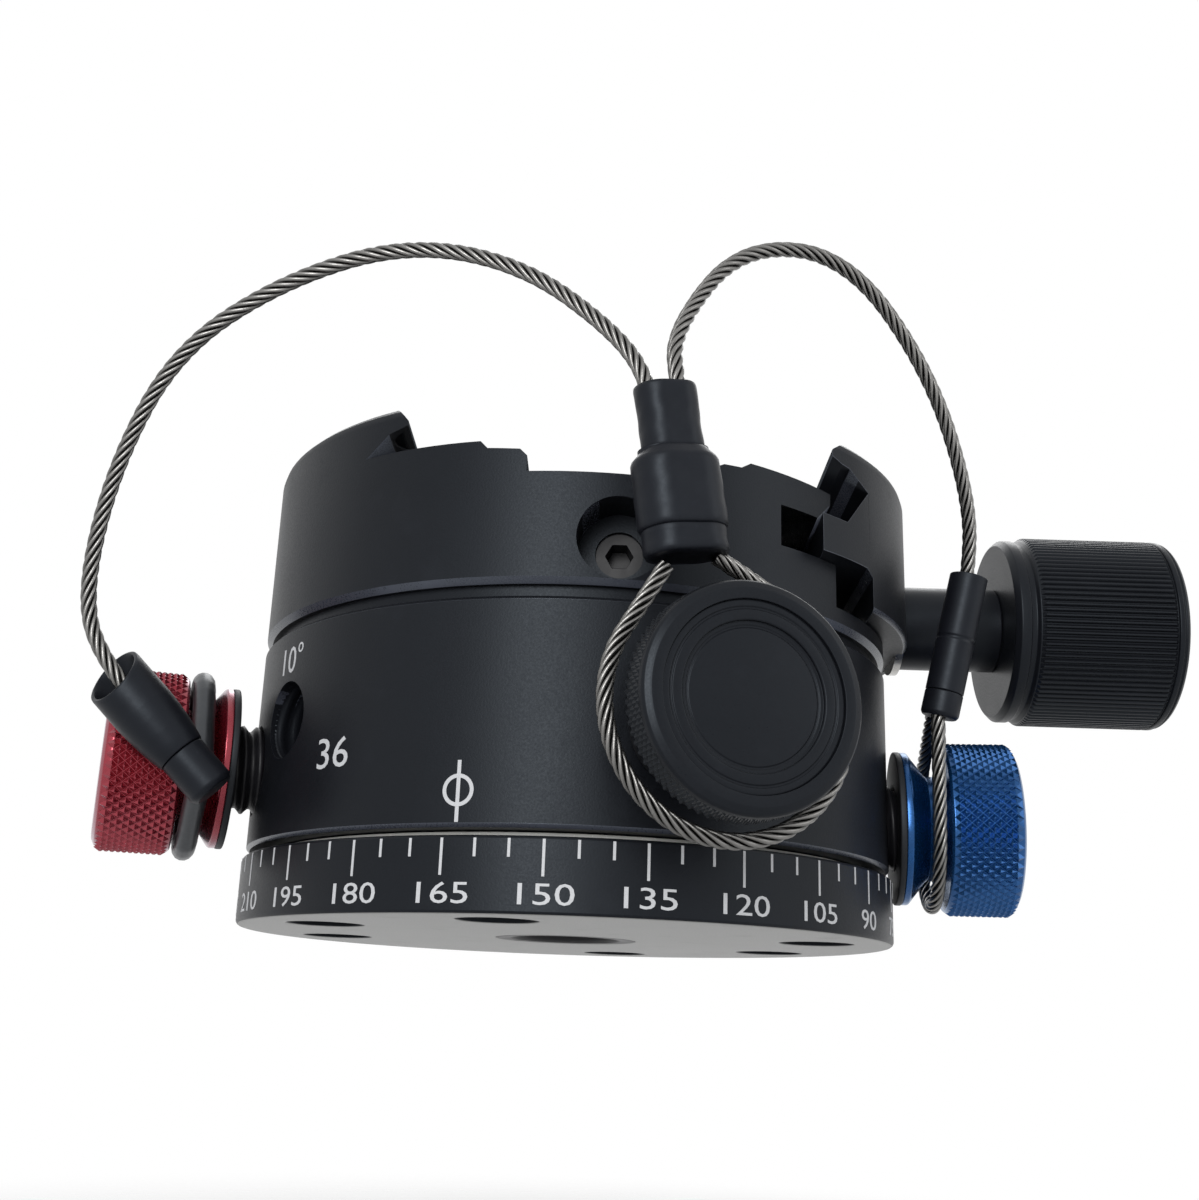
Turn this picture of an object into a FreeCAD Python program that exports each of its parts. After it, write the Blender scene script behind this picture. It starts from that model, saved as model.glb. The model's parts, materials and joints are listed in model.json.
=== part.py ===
import FreeCAD, Part
import math
import os
import re

import Sketcher

# Panoramic tripod head: an indexing rotator with a screw clamp on top.
# Millimetres, +Z up. The origin is the middle of the base's underside. The clamp's screw lies along +X
# and its dovetail channel along Y. Angles are degrees about +Z from +X.

doc = FreeCAD.newDocument("panoramic_head")
sheet = doc.addObject("Spreadsheet::Sheet", "Sizes")

SIZES = {
    # base
    "base_radius": 30.0,
    "base_height": 5.8,
    "base_chamfer": 0.25,
    "bush_radius": 6.5,
    "bush_bore": 4.76,
    "bush_top": 11.5,
    "foot_hole_circle": 23.3,
    "foot_hole_radius": 3.3,
    "foot_hole_depth": 3.0,
    "dowel_circle": 14.0,
    "dowel_radius": 1.5,
    "dowel_bottom": 3.0,
    "dowel_top": 10.0,
    # index drum and bearing
    "drum_radius": 20.0,
    "drum_top": 23.0,
    "drum_cup_radius": 9.0,
    "drum_cup_floor": 13.0,
    "dimple_depth": 1.0,
    "low_ring": 10.95,
    "middle_ring": 13.2,
    "high_ring": 16.45,
    "running_gap": 0.05,
    "glide_thickness": 0.5,
    "bearing_ledge": 20.2,
    "race_inner": 20.4,
    "race_outer": 24.2,
    "race_thickness": 0.7,
    "ball_radius": 0.68,
    "cap_radius": 24.3,
    "cap_thickness": 1.2,
    "cap_screw_circle": 14.5,
    "cap_screw_radius": 1.25,
    # rotor
    "rotor_radius": 29.7,
    "rotor_bottom": 6.4,
    "rotor_top": 24.5,
    "counterbore": 24.6,
    "spare_hole_radius": 3.32,
    "hole_floor": 25.0,
    "nose_hole": 1.6,
    # clamp
    "neck_radius": 28.7,
    "clamp_bottom": 25.55,
    "clamp_top": 42.1,
    "plate_top": 27.35,
    "fixed_ledge": 37.8,
    "relief_floor": 34.9,
    "screw_height": 31.2,
    "clamp_stud_radius": 2.45,
    "clamp_stud_start": 6.0,
    "pin_height": 32.9,
    "pin_radius": 1.0,
    "pin_spread": 11.0,
    "front_bore_radius": 3.5,
    "front_bore_height": 29.5,
    "front_bore_offset": 3.8,
    "clamp_screw_circle": 26.6,
    "clamp_screw_radius": 1.25,
    "clamp_screw_seat": 33.9,
    "clamp_screw_end": 18.4,
    # moving jaw, as it stands open, and its knob
    "jaw_open": 2.25,
    "jaw_bottom": 27.6,
    "jaw_shoulder": 31.2,
    "washer_seat": 30.9,
    "washer_thickness": 0.7,
    "clamp_knob_inner": 41.1,
    "clamp_knob_outer": 57.5,
    "clamp_knob_radius": 9.3,
    "spacer_radius": 4.1,
    # lock knob
    "lock_height": 14.8,
    "lock_rear": 37.4,
    "lock_front": 41.4,
    "lock_radius": 8.6,
    "lock_neck": 4.2,
    "lock_stud_radius": 2.95,
    "lock_stud_start": 22.45,
    # index plungers
    "barrel_radius": 4.0,
    "barrel_depth": 5.0,
    "flange_start": 0.6,
    "flange_radius": 7.0,
    "groove_radius": 4.8,
    "grip_radius": 7.9,
    "grip_start": 4.4,
    "grip_end": 10.9,
    "nose_radius": 1.2,
    "spring_bore": 2.0,
    # tethers
    "rope_diameter": 1.3,
    "black_rope_diameter": 1.9,
    "main_loop_radius": 9.6,
    "red_loop_radius": 7.3,
    "blue_loop_radius": 7.1,
    "main_collar_length": 4.15,
    "main_ferrule_length": 8.4,
}

for row, (alias, value) in enumerate(SIZES.items(), start=1):
    sheet.set("A%d" % row, alias)
    sheet.set("B%d" % row, str(value))
    sheet.setAlias("B%d" % row, alias)
doc.recompute()

# Where the radial screws stand round the rotor.
LOCK_ANGLE = -70.9
RED_ANGLE = -160.5
BLUE_ANGLE = -5.7
# Distance of each plunger's washer from the head's axis: blue is screwed home, red is backed out.
RED_SEAT = 31.9
BLUE_SEAT = 30.3
# Rings of dimples on the drum: height, number of stops, angle of the first dimple.
DIMPLE_RINGS = (("low_ring", 12, BLUE_ANGLE), ("middle_ring", 24, RED_ANGLE), ("high_ring", 36, -144.3))
# Tapped holes without a plunger: angle and ring.
SPARE_HOLES = ((-144.3, "high_ring"), (180.0, "low_ring"), (14.0, "middle_ring"), (34.0, "high_ring"))
PRELOAD_ANGLES = (-102.0, 78.0)
OPEN_HOLE_ANGLES = (-150.5, -16.0, 29.5, 164.0)
DOWEL_ANGLES = (40.0, 220.0)
CAP_SCREW_ANGLES = (0.0, 90.0, 180.0, 270.0)
CLAMP_SCREW_ANGLES = (-120.0, -59.0, 59.0, 120.0)
BALL_COUNT = 30

# Tether loops and sleeves as (out from the head's axis, sideways counter-clockwise, height).
MAIN_SLEEVE = ((36.8, -3.5, 25.8), (36.8, -5.55, 39.2))
MAIN_STRANDS = ((-5.16, 24.9), (-1.18, 26.2))
RED_SLEEVE = ((36.0, 11.1, 11.6), (43.7, 10.1, 19.3))
RED_LOOP_OUT = 35.1
RED_FOOT = (11.1, -2.3)
BLUE_SLEEVE = ((34.26, -7.94, 21.6), (36.86, -8.88, 32.7))
BLUE_LOOP_OUT = 33.7
BLUE_FOOT = (-7.94, 10.65)
STRAND_SPACING = 2.1
# The blue sleeve moves out with its plunger, so the blue rope's solid stops this far above its mouth.
SLEEVE_ROOM = 0.6
# Corner points of the two free tethers between the mouths of their sleeves.
RED_ROUTE = (
    (3.1, -35.9, 44.0),
    (-4.8, -34.1, 50.9),
    (-14.6, -32.3, 53.5),
    (-24.9, -30.3, 50.8),
    (-33.6, -28.4, 45.1),
    (-38.2, -26.4, 35.4),
    (-40.1, -24.2, 25.0),
)
BLUE_ROUTE = (
    (7.4, -34.4, 45.2),
    (13.2, -30.3, 55.5),
    (22.8, -26.3, 57.2),
    (30.9, -20.9, 49.0),
    (35.4, -15.5, 39.2),
)
UP = FreeCAD.Vector(0, 0, 1)

sub_parts = []


def size(alias):
    """A driving dimension as a number."""
    return float(sheet.get(alias))


def bound(text):
    """An expression with the sheet's name put before each alias."""
    return re.sub(r"[a-z]\w*", lambda word: "Sizes." + word.group(0), text)


def number(text):
    """The value of an expression in the sheet's aliases."""
    return float(sheet.evalExpression(text))


def keep(obj, label):
    """Name a finished sub-part and list it for export."""
    obj.Label = label
    sub_parts.append(obj)
    return obj


def radial(angle, height, axial=0.0):
    """Placement that lays local Z outward at an angle round the rotor, with local X up."""
    turn = FreeCAD.Rotation(UP, angle) * FreeCAD.Rotation(FreeCAD.Vector(0, 1, 0), 90)
    turn = turn * FreeCAD.Rotation(UP, 180)
    start = FreeCAD.Rotation(UP, angle).multVec(FreeCAD.Vector(axial, 0, height))
    return FreeCAD.Placement(start, turn)


def at(angle, axial, side, height):
    """A point out along an angle, then sideways counter-clockwise, then up."""
    return FreeCAD.Rotation(UP, angle).multVec(FreeCAD.Vector(axial, side, height))


def ring_point(radius, angle, height=0.0):
    """A point on a circle about the head's axis."""
    return at(angle, radius, 0.0, height)


def origin_plane(body, role):
    """One of the body's own origin planes."""
    return [plane for plane in body.Origin.OriginFeatures if plane.Role == role][0]


def outline(body, role, corners):
    """A closed sketch through corners whose two coordinates are expressions in the sheet's aliases."""
    sketch = body.newObject("Sketcher::SketchObject", "Outline")
    sketch.AttachmentSupport = [(origin_plane(body, role), "")]
    sketch.MapMode = "FlatFace"
    places = [FreeCAD.Vector(number(across), number(up), 0) for across, up in corners]
    count = len(places)
    for index in range(count):
        sketch.addGeometry(Part.LineSegment(places[index], places[(index + 1) % count]), False)
    for index in range(count):
        sketch.addConstraint(Sketcher.Constraint("Coincident", index, 2, (index + 1) % count, 1))
    for index, (across, up) in enumerate(corners):
        for kind, text, value in (("DistanceX", across, places[index].x), ("DistanceY", up, places[index].y)):
            if abs(value) < 1e-9:
                target = -2 if kind == "DistanceX" else -1
                sketch.addConstraint(Sketcher.Constraint("PointOnObject", index, 1, target))
            elif value > 0:
                item = sketch.addConstraint(Sketcher.Constraint(kind, -1, 1, index, 1, value))
                sketch.setExpression("Constraints[%d]" % item, bound(text))
            else:
                item = sketch.addConstraint(Sketcher.Constraint(kind, index, 1, -1, 1, -value))
                sketch.setExpression("Constraints[%d]" % item, bound("0 - (" + text + ")"))
    return sketch


def turned(name, corners):
    """A body turned about its local Z from a half section of (radius, height) expressions."""
    body = doc.addObject("PartDesign::Body", name)
    sketch = outline(body, "XZ_Plane", corners)
    revolution = body.newObject("PartDesign::Revolution", "Turned")
    revolution.Profile = sketch
    revolution.ReferenceAxis = (sketch, ["V_Axis"])
    revolution.Angle = 360
    sketch.Visibility = False
    doc.recompute()
    return body


def extruded(name, corners, length):
    """A body with an XZ section, padded the same length to both sides along Y."""
    body = doc.addObject("PartDesign::Body", name)
    sketch = outline(body, "XZ_Plane", corners)
    pad = body.newObject("PartDesign::Pad", "Extruded")
    pad.Profile = sketch
    pad.Midplane = True
    pad.setExpression("Length", bound(length))
    sketch.Visibility = False
    doc.recompute()
    return body


def cylinder(name, radius, length, placement):
    """A cylinder whose radius and length are expressions, along the placement's local Z."""
    solid = doc.addObject("Part::Cylinder", name)
    solid.setExpression("Radius", bound(radius))
    solid.setExpression("Height", bound(length))
    solid.Placement = placement
    return solid


def upright(radius, angle, bottom):
    """Placement of something that stands at a radius and an angle on a given height."""
    return FreeCAD.Placement(ring_point(radius, angle, bottom), FreeCAD.Rotation())


def along_x(start, side, height):
    """Placement that lays local Z along +X from a starting X."""
    turn = FreeCAD.Rotation(FreeCAD.Vector(0, 1, 0), 90)
    return FreeCAD.Placement(FreeCAD.Vector(start, side, height), turn)


def along_y(across, start, height):
    """Placement that lays local Z along +Y from a starting Y."""
    turn = FreeCAD.Rotation(FreeCAD.Vector(1, 0, 0), -90)
    return FreeCAD.Placement(FreeCAD.Vector(across, start, height), turn)


def joined(name, shapes):
    """Several solids as one object; with one solid it is that solid."""
    if len(shapes) == 1:
        return shapes[0]
    fused = doc.addObject("Part::MultiFuse", name)
    fused.Shapes = shapes
    fused.Refine = True
    return fused


def bored(name, body, tools):
    """The body less all of the tools."""
    cut = doc.addObject("Part::Cut", name)
    cut.Base = body
    cut.Tool = joined(name + "Tools", tools)
    doc.recompute()
    return cut


def shared(name, first, second):
    """What two bodies have in common."""
    common = doc.addObject("Part::Common", name)
    common.Base = first
    common.Tool = second
    doc.recompute()
    return common


def hexagon_socket(name, flats, depth, placement):
    """A hexagonal key socket, deep along the placement's local Z."""
    prism = doc.addObject("Part::Prism", name)
    prism.Polygon = 6
    prism.Circumradius = flats / math.sqrt(3)
    prism.Height = depth
    prism.Placement = placement
    return prism


def flat_ring(name, inner, outer, bottom, top):
    """A plain washer between two heights."""
    return turned(name, [(inner, bottom), (outer, bottom), (outer, top), (inner, top)])


def coil(label, mean_radius, wire_radius, length, turns, placement):
    """A compression spring of eight-sided wire along the placement's local Z."""
    helix = Part.makeHelix(length / turns, length, mean_radius)
    corners = []
    for side in range(9):
        turn = math.radians(45 * side + 22.5)
        corners.append(FreeCAD.Vector(mean_radius + wire_radius * math.cos(turn), 0, wire_radius * math.sin(turn)))
    section = Part.makePolygon(corners)
    shape = Part.Wire(helix.Edges).makePipeShell([section], True, True)
    spring = doc.addObject("Part::Feature", "Spring")
    spring.Shape = shape
    spring.Placement = placement
    spring.Label = label
    return spring


# ---------------------------------------------------------------- base


def base_ring():
    body = turned("BaseTurned", [
        ("bush_radius", "0"),
        ("base_radius - base_chamfer", "0"),
        ("base_radius", "base_chamfer"),
        ("base_radius", "base_height - base_chamfer"),
        ("base_radius - base_chamfer", "base_height"),
        ("bush_radius", "base_height"),
    ])
    circle = size("foot_hole_circle")
    tools = []
    for angle in OPEN_HOLE_ANGLES:
        tools.append(cylinder("OpenHole", "foot_hole_radius", "foot_hole_depth", upright(circle, angle, 0)))
    for angle in PRELOAD_ANGLES:
        tools.append(cylinder("PreloadHole", "foot_hole_radius", "base_height", upright(circle, angle, 0)))
    for angle in DOWEL_ANGLES:
        place = upright(size("dowel_circle"), angle, size("dowel_bottom"))
        tools.append(cylinder("DowelHole", "dowel_radius", "base_height - dowel_bottom", place))
    keep(bored("BaseRing", body, tools), "base_ring")


def tripod_bush():
    keep(flat_ring("Bush", "bush_bore", "bush_radius", "0", "bush_top"), "tripod_bush")


def glide_preload_screws():
    screws = []
    for angle in PRELOAD_ANGLES:
        place = upright(size("foot_hole_circle"), angle, 0.5)
        screw = cylinder("Preload", "foot_hole_radius", "base_height - 0.7", place)
        screws.append(bored("PreloadScrew", screw, [hexagon_socket("PreloadKey", 3.0, 2.5, place)]))
    keep(joined("PreloadScrews", screws), "glide_preload_screws")


def index_drum():
    body = turned("DrumTurned", [
        ("bush_radius", "base_height"),
        ("drum_radius - 0.3", "base_height"),
        ("drum_radius", "base_height + 0.3"),
        ("drum_radius", "drum_top - 0.3"),
        ("drum_radius - 0.3", "drum_top"),
        ("drum_cup_radius", "drum_top"),
        ("drum_cup_radius", "drum_cup_floor"),
        ("0", "drum_cup_floor"),
        ("0", "bush_top"),
        ("bush_radius", "bush_top"),
    ])
    tools = []
    for ring, stops, first_angle in DIMPLE_RINGS:
        for stop in range(stops):
            dimple = doc.addObject("Part::Cone", "Dimple")
            dimple.setExpression("Radius1", bound("nose_radius * 0.5"))
            dimple.setExpression("Radius2", bound("nose_radius * 1.15"))
            dimple.setExpression("Height", bound("dimple_depth + 0.2"))
            start = size("drum_radius") - size("dimple_depth")
            dimple.Placement = radial(first_angle + stop * 360.0 / stops, size(ring), start)
            tools.append(dimple)
    for angle in DOWEL_ANGLES:
        place = upright(size("dowel_circle"), angle, size("base_height"))
        tools.append(cylinder("DrumDowelHole", "dowel_radius", "dowel_top - base_height", place))
    for angle in CAP_SCREW_ANGLES:
        place = upright(size("cap_screw_circle"), angle, size("drum_top") - 5)
        tools.append(cylinder("CapScrewHole", "cap_screw_radius", "5", place))
    keep(bored("IndexDrum", body, tools), "index_drum")


def drum_dowels():
    dowels = [cylinder("Dowel", "dowel_radius", "dowel_top - dowel_bottom",
                       upright(size("dowel_circle"), angle, size("dowel_bottom")))
              for angle in DOWEL_ANGLES]
    keep(joined("DrumDowels", dowels), "drum_dowels")


def bearing():
    keep(flat_ring("GlideWasher", "drum_radius + 0.6", "rotor_radius - 2", "base_height",
                   "base_height + glide_thickness"), "glide_washer")
    keep(flat_ring("LowerRace", "race_inner", "race_outer", "bearing_ledge",
                   "bearing_ledge + race_thickness"), "lower_race")
    keep(flat_ring("UpperRace", "race_inner", "race_outer", "drum_top - race_thickness", "drum_top"),
         "upper_race")
    middle = (size("race_inner") + size("race_outer")) / 2
    height = (size("bearing_ledge") + size("drum_top")) / 2
    balls = []
    pockets = []
    for index in range(BALL_COUNT):
        angle = index * 360.0 / BALL_COUNT
        ball = doc.addObject("Part::Sphere", "Ball")
        ball.setExpression("Radius", bound("ball_radius"))
        ball.Placement = upright(middle, angle, height)
        balls.append(ball)
        pockets.append(cylinder("BallPocket", "ball_radius + 0.08", "2", upright(middle, angle, height - 1)))
    keep(joined("Balls", balls), "bearing_balls")
    cage = flat_ring("CageRing", "race_inner + 0.3", "race_outer - 0.3",
                     "(bearing_ledge + drum_top) / 2 - 0.35", "(bearing_ledge + drum_top) / 2 + 0.35")
    keep(bored("BallCage", cage, pockets), "ball_cage")


def retaining_cap():
    disc = turned("CapTurned", [
        ("5", "drum_top"),
        ("cap_radius", "drum_top"),
        ("cap_radius", "drum_top + cap_thickness - 0.3"),
        ("cap_radius - 0.3", "drum_top + cap_thickness"),
        ("5", "drum_top + cap_thickness"),
    ])
    holes = []
    screws = []
    for angle in CAP_SCREW_ANGLES:
        foot = upright(size("cap_screw_circle"), angle, size("drum_top") - 5)
        hole = turned("CapHole", [
            ("0", "0"),
            ("cap_screw_radius", "0"),
            ("cap_screw_radius", "5.1"),
            ("cap_screw_radius + 1.15", "5.05 + cap_thickness"),
            ("0", "5.05 + cap_thickness"),
        ])
        hole.Placement = foot
        holes.append(hole)
        screw = turned("CapScrew", [
            ("0", "0"),
            ("cap_screw_radius", "0"),
            ("cap_screw_radius", "5.1"),
            ("cap_screw_radius + 1.05", "4.95 + cap_thickness"),
            ("0", "4.95 + cap_thickness"),
        ])
        screw.Placement = foot
        key_place = upright(size("cap_screw_circle"), angle, size("drum_top"))
        screws.append(bored("CapScrewKeyed", screw, [hexagon_socket("CapKey", 1.5, 1.3, key_place)]))
    keep(bored("RetainingCap", disc, holes), "retaining_cap")
    keep(joined("CapScrews", screws), "cap_screws")


# ---------------------------------------------------------------- rotor


def plunger_hole(angle, ring, radius):
    """One tapped hole and the narrower way for a nose through to the drum."""
    floor = size("hole_floor")
    height = size(ring)
    inner = size("drum_radius") - 1
    return [
        cylinder("PlungerThread", radius, "rotor_radius + 1 - hole_floor", radial(angle, height, floor)),
        cylinder("NoseHole", "nose_hole", "hole_floor + 1.5 - drum_radius", radial(angle, height, inner)),
    ]


def rotor_body():
    body = turned("RotorTurned", [
        ("drum_radius + running_gap", "rotor_bottom"),
        ("rotor_radius - 0.3", "rotor_bottom"),
        ("rotor_radius", "rotor_bottom + 0.3"),
        ("rotor_radius", "rotor_top - 0.3"),
        ("rotor_radius - 0.3", "rotor_top"),
        ("counterbore", "rotor_top"),
        ("counterbore", "bearing_ledge"),
        ("drum_radius + running_gap", "bearing_ledge"),
    ])
    tools = plunger_hole(RED_ANGLE, "middle_ring", "barrel_radius + running_gap")
    tools += plunger_hole(BLUE_ANGLE, "low_ring", "barrel_radius + running_gap")
    for angle, ring in SPARE_HOLES:
        tools += plunger_hole(angle, ring, "spare_hole_radius")
    inner = size("drum_radius") - 1
    tools.append(cylinder("LockThread", "lock_stud_radius + running_gap", "rotor_radius + 2 - drum_radius",
                          radial(LOCK_ANGLE, size("lock_height"), inner)))
    for angle in CLAMP_SCREW_ANGLES:
        place = upright(size("clamp_screw_circle"), angle, size("clamp_screw_end") - 0.3)
        tools.append(cylinder("ClampScrewHole", "clamp_screw_radius", "rotor_top + 1 - clamp_screw_end", place))
    keep(bored("RotorBody", body, tools), "rotor_body")


def clamp_envelope(name, bottom_corners):
    """The round outside that both halves of the clamp share, with a rounded top edge."""
    return turned(name, bottom_corners + [
        ("rotor_radius", "clamp_top - 1.2"),
        ("rotor_radius - 0.16", "clamp_top - 0.6"),
        ("rotor_radius - 0.6", "clamp_top - 0.16"),
        ("rotor_radius - 1.2", "clamp_top"),
        ("0", "clamp_top"),
    ])


def clamp_base():
    section = extruded("ClampSection", [
        ("0 - rotor_radius - 1", "rotor_top"),
        ("rotor_radius + 1", "rotor_top"),
        ("rotor_radius + 1", "plate_top"),
        ("22.5", "plate_top"),
        ("22.5", "31.1"),
        ("17.2", "31.1"),
        ("17.2", "34.7"),
        ("20.7", "34.7"),
        ("22.0", "36.4"),
        ("22.05", "37.4"),
        ("14.5", "37.6"),
        ("13.7", "37.05"),
        ("12.2", "37.0"),
        ("11.35", "36.55"),
        ("10.3", "36.0"),
        ("10.3", "relief_floor"),
        ("0 - 3.9", "relief_floor"),
        ("0 - 3.9", "36.25"),
        ("0 - 4.5", "36.85"),
        ("0 - 7.2", "37.05"),
        ("0 - 7.8", "fixed_ledge - 0.1"),
        ("0 - 17.95", "fixed_ledge"),
        ("0 - 15.9", "39.55"),
        ("0 - 14.2", "40.05"),
        ("0 - 14.2", "40.45"),
        ("0 - 15.3", "clamp_top - 0.2"),
        ("0 - 15.5", "clamp_top"),
        ("0 - rotor_radius - 1", "clamp_top"),
    ], "2 * rotor_radius + 2")
    envelope = clamp_envelope("ClampEnvelope", [
        ("0", "rotor_top"),
        ("neck_radius", "rotor_top"),
        ("neck_radius", "clamp_bottom"),
        ("rotor_radius - 0.5", "clamp_bottom"),
        ("rotor_radius", "clamp_bottom + 0.5"),
    ])
    tools = [cylinder("StudBore", "clamp_stud_radius + running_gap", "26 - clamp_stud_start",
                      along_x(size("clamp_stud_start") - 2.5, 0, size("screw_height")))]
    for side in (-1, 1):
        tools.append(cylinder("PinBore", "pin_radius + running_gap", "14",
                              along_x(7.9, side * size("pin_spread"), size("pin_height"))))
    across = size("front_bore_offset")
    height = size("front_bore_height")
    tools.append(cylinder("FrontBore", "front_bore_radius", "6", along_y(across, -31, height)))
    tools.append(cylinder("FrontThread", "2", "12", along_y(across, -26, height)))
    tools.append(cylinder("SpacerRelief", "spacer_radius + 1", "4", along_x(27.6, 0, size("screw_height"))))
    circle = size("clamp_screw_circle")
    for angle in CLAMP_SCREW_ANGLES:
        seat = upright(circle, angle, size("clamp_screw_seat"))
        tools.append(cylinder("HeadSeat", "clamp_screw_radius + 1.15", "6", seat))
        tools.append(cylinder("ScrewPass", "clamp_screw_radius", "clamp_screw_seat + 0.5 - rotor_top",
                              upright(circle, angle, size("rotor_top") - 0.3)))
    keep(bored("ClampBase", shared("ClampRound", section, envelope), tools), "clamp_base")


def clamp_screws():
    circle = size("clamp_screw_circle")
    seat = size("clamp_screw_seat")
    screws = []
    for angle in CLAMP_SCREW_ANGLES:
        head = cylinder("ScrewHead", "clamp_screw_radius + 1", "2.5", upright(circle, angle, seat))
        shank = cylinder("ScrewShank", "clamp_screw_radius", "clamp_screw_seat - clamp_screw_end",
                         upright(circle, angle, size("clamp_screw_end")))
        key = hexagon_socket("ScrewKey", 2.0, 1.3, upright(circle, angle, seat + 1.3))
        screws.append(bored("ClampScrew", joined("ScrewBlank", [head, shank]), [key]))
    keep(joined("ClampScrews", screws), "clamp_screws")


def clamp_grub_screw():
    place = along_y(size("front_bore_offset"), -24.6, size("front_bore_height"))
    screw = cylinder("ClampGrub", "2", "9", place)
    keep(bored("ClampGrubScrew", screw, [hexagon_socket("ClampGrubKey", 2.0, 2.0, place)]), "clamp_grub_screw")


def guide_pins():
    pins = [cylinder("GuidePin", "pin_radius", "18.4",
                     along_x(8, side * size("pin_spread"), size("pin_height"))) for side in (-1, 1)]
    keep(joined("GuidePins", pins), "guide_pins")


def jaw_springs():
    springs = []
    for side in (-1, 1):
        place = along_x(17.4, side * size("pin_spread"), size("pin_height"))
        springs.append(coil("JawSpring", size("pin_radius") + 0.3, 0.13, 3.3, 5, place))
    pair = doc.addObject("Part::Compound", "JawSprings")
    pair.Links = springs
    doc.recompute()
    keep(pair, "jaw_springs")


# ---------------------------------------------------------------- clamp drive


def moving_jaw():
    section = extruded("JawSection", [
        ("20.9", "jaw_shoulder"),
        ("25.4", "jaw_shoulder"),
        ("26.0", "jaw_shoulder - 0.6"),
        ("26.0", "jaw_bottom"),
        ("rotor_radius + 4", "jaw_bottom"),
        ("rotor_radius + 4", "clamp_top"),
        ("23.3", "clamp_top"),
        ("21.9", "40.7"),
        ("21.9", "40.1"),
        ("22.9", "39.7"),
        ("23.7", "39.6"),
        ("24.6", "38.95"),
        ("25.7", "38.3"),
        ("23.36", "34.55"),
        ("20.9", "34.55"),
    ], "2 * rotor_radius + 2")
    envelope = clamp_envelope("JawEnvelope", [
        ("0", "jaw_bottom"),
        ("rotor_radius - 0.3", "jaw_bottom"),
        ("rotor_radius", "jaw_bottom + 0.3"),
    ])
    envelope.Placement = upright(size("jaw_open"), 0, 0)
    height = size("screw_height")
    tools = [cylinder("JawStudHole", "clamp_stud_radius + 0.3", "14", along_x(19, 0, height)),
             cylinder("WasherSeat", "5", "3", along_x(size("washer_seat"), 0, height))]
    for side in (-1, 1):
        tools.append(cylinder("JawPinBore", "pin_radius + running_gap", "8.3",
                              along_x(20.5, side * size("pin_spread"), size("pin_height"))))
    keep(bored("MovingJaw", shared("JawRound", section, envelope), tools), "moving_jaw")


def clamp_drive():
    height = size("screw_height")
    seat = size("washer_seat")
    washer = flat_ring("ClampWasher", "clamp_stud_radius + 0.1", "4.7", "0", "washer_thickness")
    washer.Placement = along_x(seat, 0, height)
    keep(washer, "clamp_washer")
    spacer = flat_ring("ClampSpacer", "clamp_stud_radius", "spacer_radius", "0",
                       "clamp_knob_inner - washer_seat - washer_thickness")
    spacer.Placement = along_x(seat + size("washer_thickness"), 0, height)
    keep(spacer, "clamp_spacer")
    knob = turned("ClampKnob", [
        ("clamp_stud_radius", "0"),
        ("clamp_knob_radius - 0.8", "0"),
        ("clamp_knob_radius - 0.3", "0.5"),
        ("clamp_knob_radius - 0.3", "1.4"),
        ("clamp_knob_radius - 0.6", "1.5"),
        ("clamp_knob_radius - 0.6", "2.0"),
        ("clamp_knob_radius", "2.2"),
        ("clamp_knob_radius", "clamp_knob_outer - clamp_knob_inner - 1.2"),
        ("clamp_knob_radius - 0.35", "clamp_knob_outer - clamp_knob_inner - 0.35"),
        ("clamp_knob_radius - 1.2", "clamp_knob_outer - clamp_knob_inner"),
        ("clamp_knob_radius - 1.8", "clamp_knob_outer - clamp_knob_inner"),
        ("clamp_knob_radius - 1.8", "clamp_knob_outer - clamp_knob_inner - 1.2"),
        ("clamp_stud_radius", "clamp_knob_outer - clamp_knob_inner - 1.2"),
    ])
    knob.Placement = along_x(size("clamp_knob_inner"), 0, height)
    keep(knob, "clamp_knob")
    cap = turned("ClampKnobCap", [
        ("0", "0"),
        ("clamp_knob_radius - 1.8", "0"),
        ("clamp_knob_radius - 1.8", "0.8"),
        ("clamp_knob_radius - 2.4", "1.0"),
        ("0", "1.0"),
    ])
    cap.Placement = along_x(size("clamp_knob_outer") - 1.2, 0, height)
    keep(cap, "clamp_knob_cap")
    stud = turned("ClampStud", [
        ("0", "0"),
        ("clamp_stud_radius - 0.5", "0"),
        ("clamp_stud_radius", "0.5"),
        ("clamp_stud_radius", "clamp_knob_outer - 1.5 - clamp_stud_start"),
        ("0", "clamp_knob_outer - 1.5 - clamp_stud_start"),
    ])
    stud.Placement = along_x(size("clamp_stud_start"), 0, height)
    keep(stud, "clamp_stud")


# ---------------------------------------------------------------- lock


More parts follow.
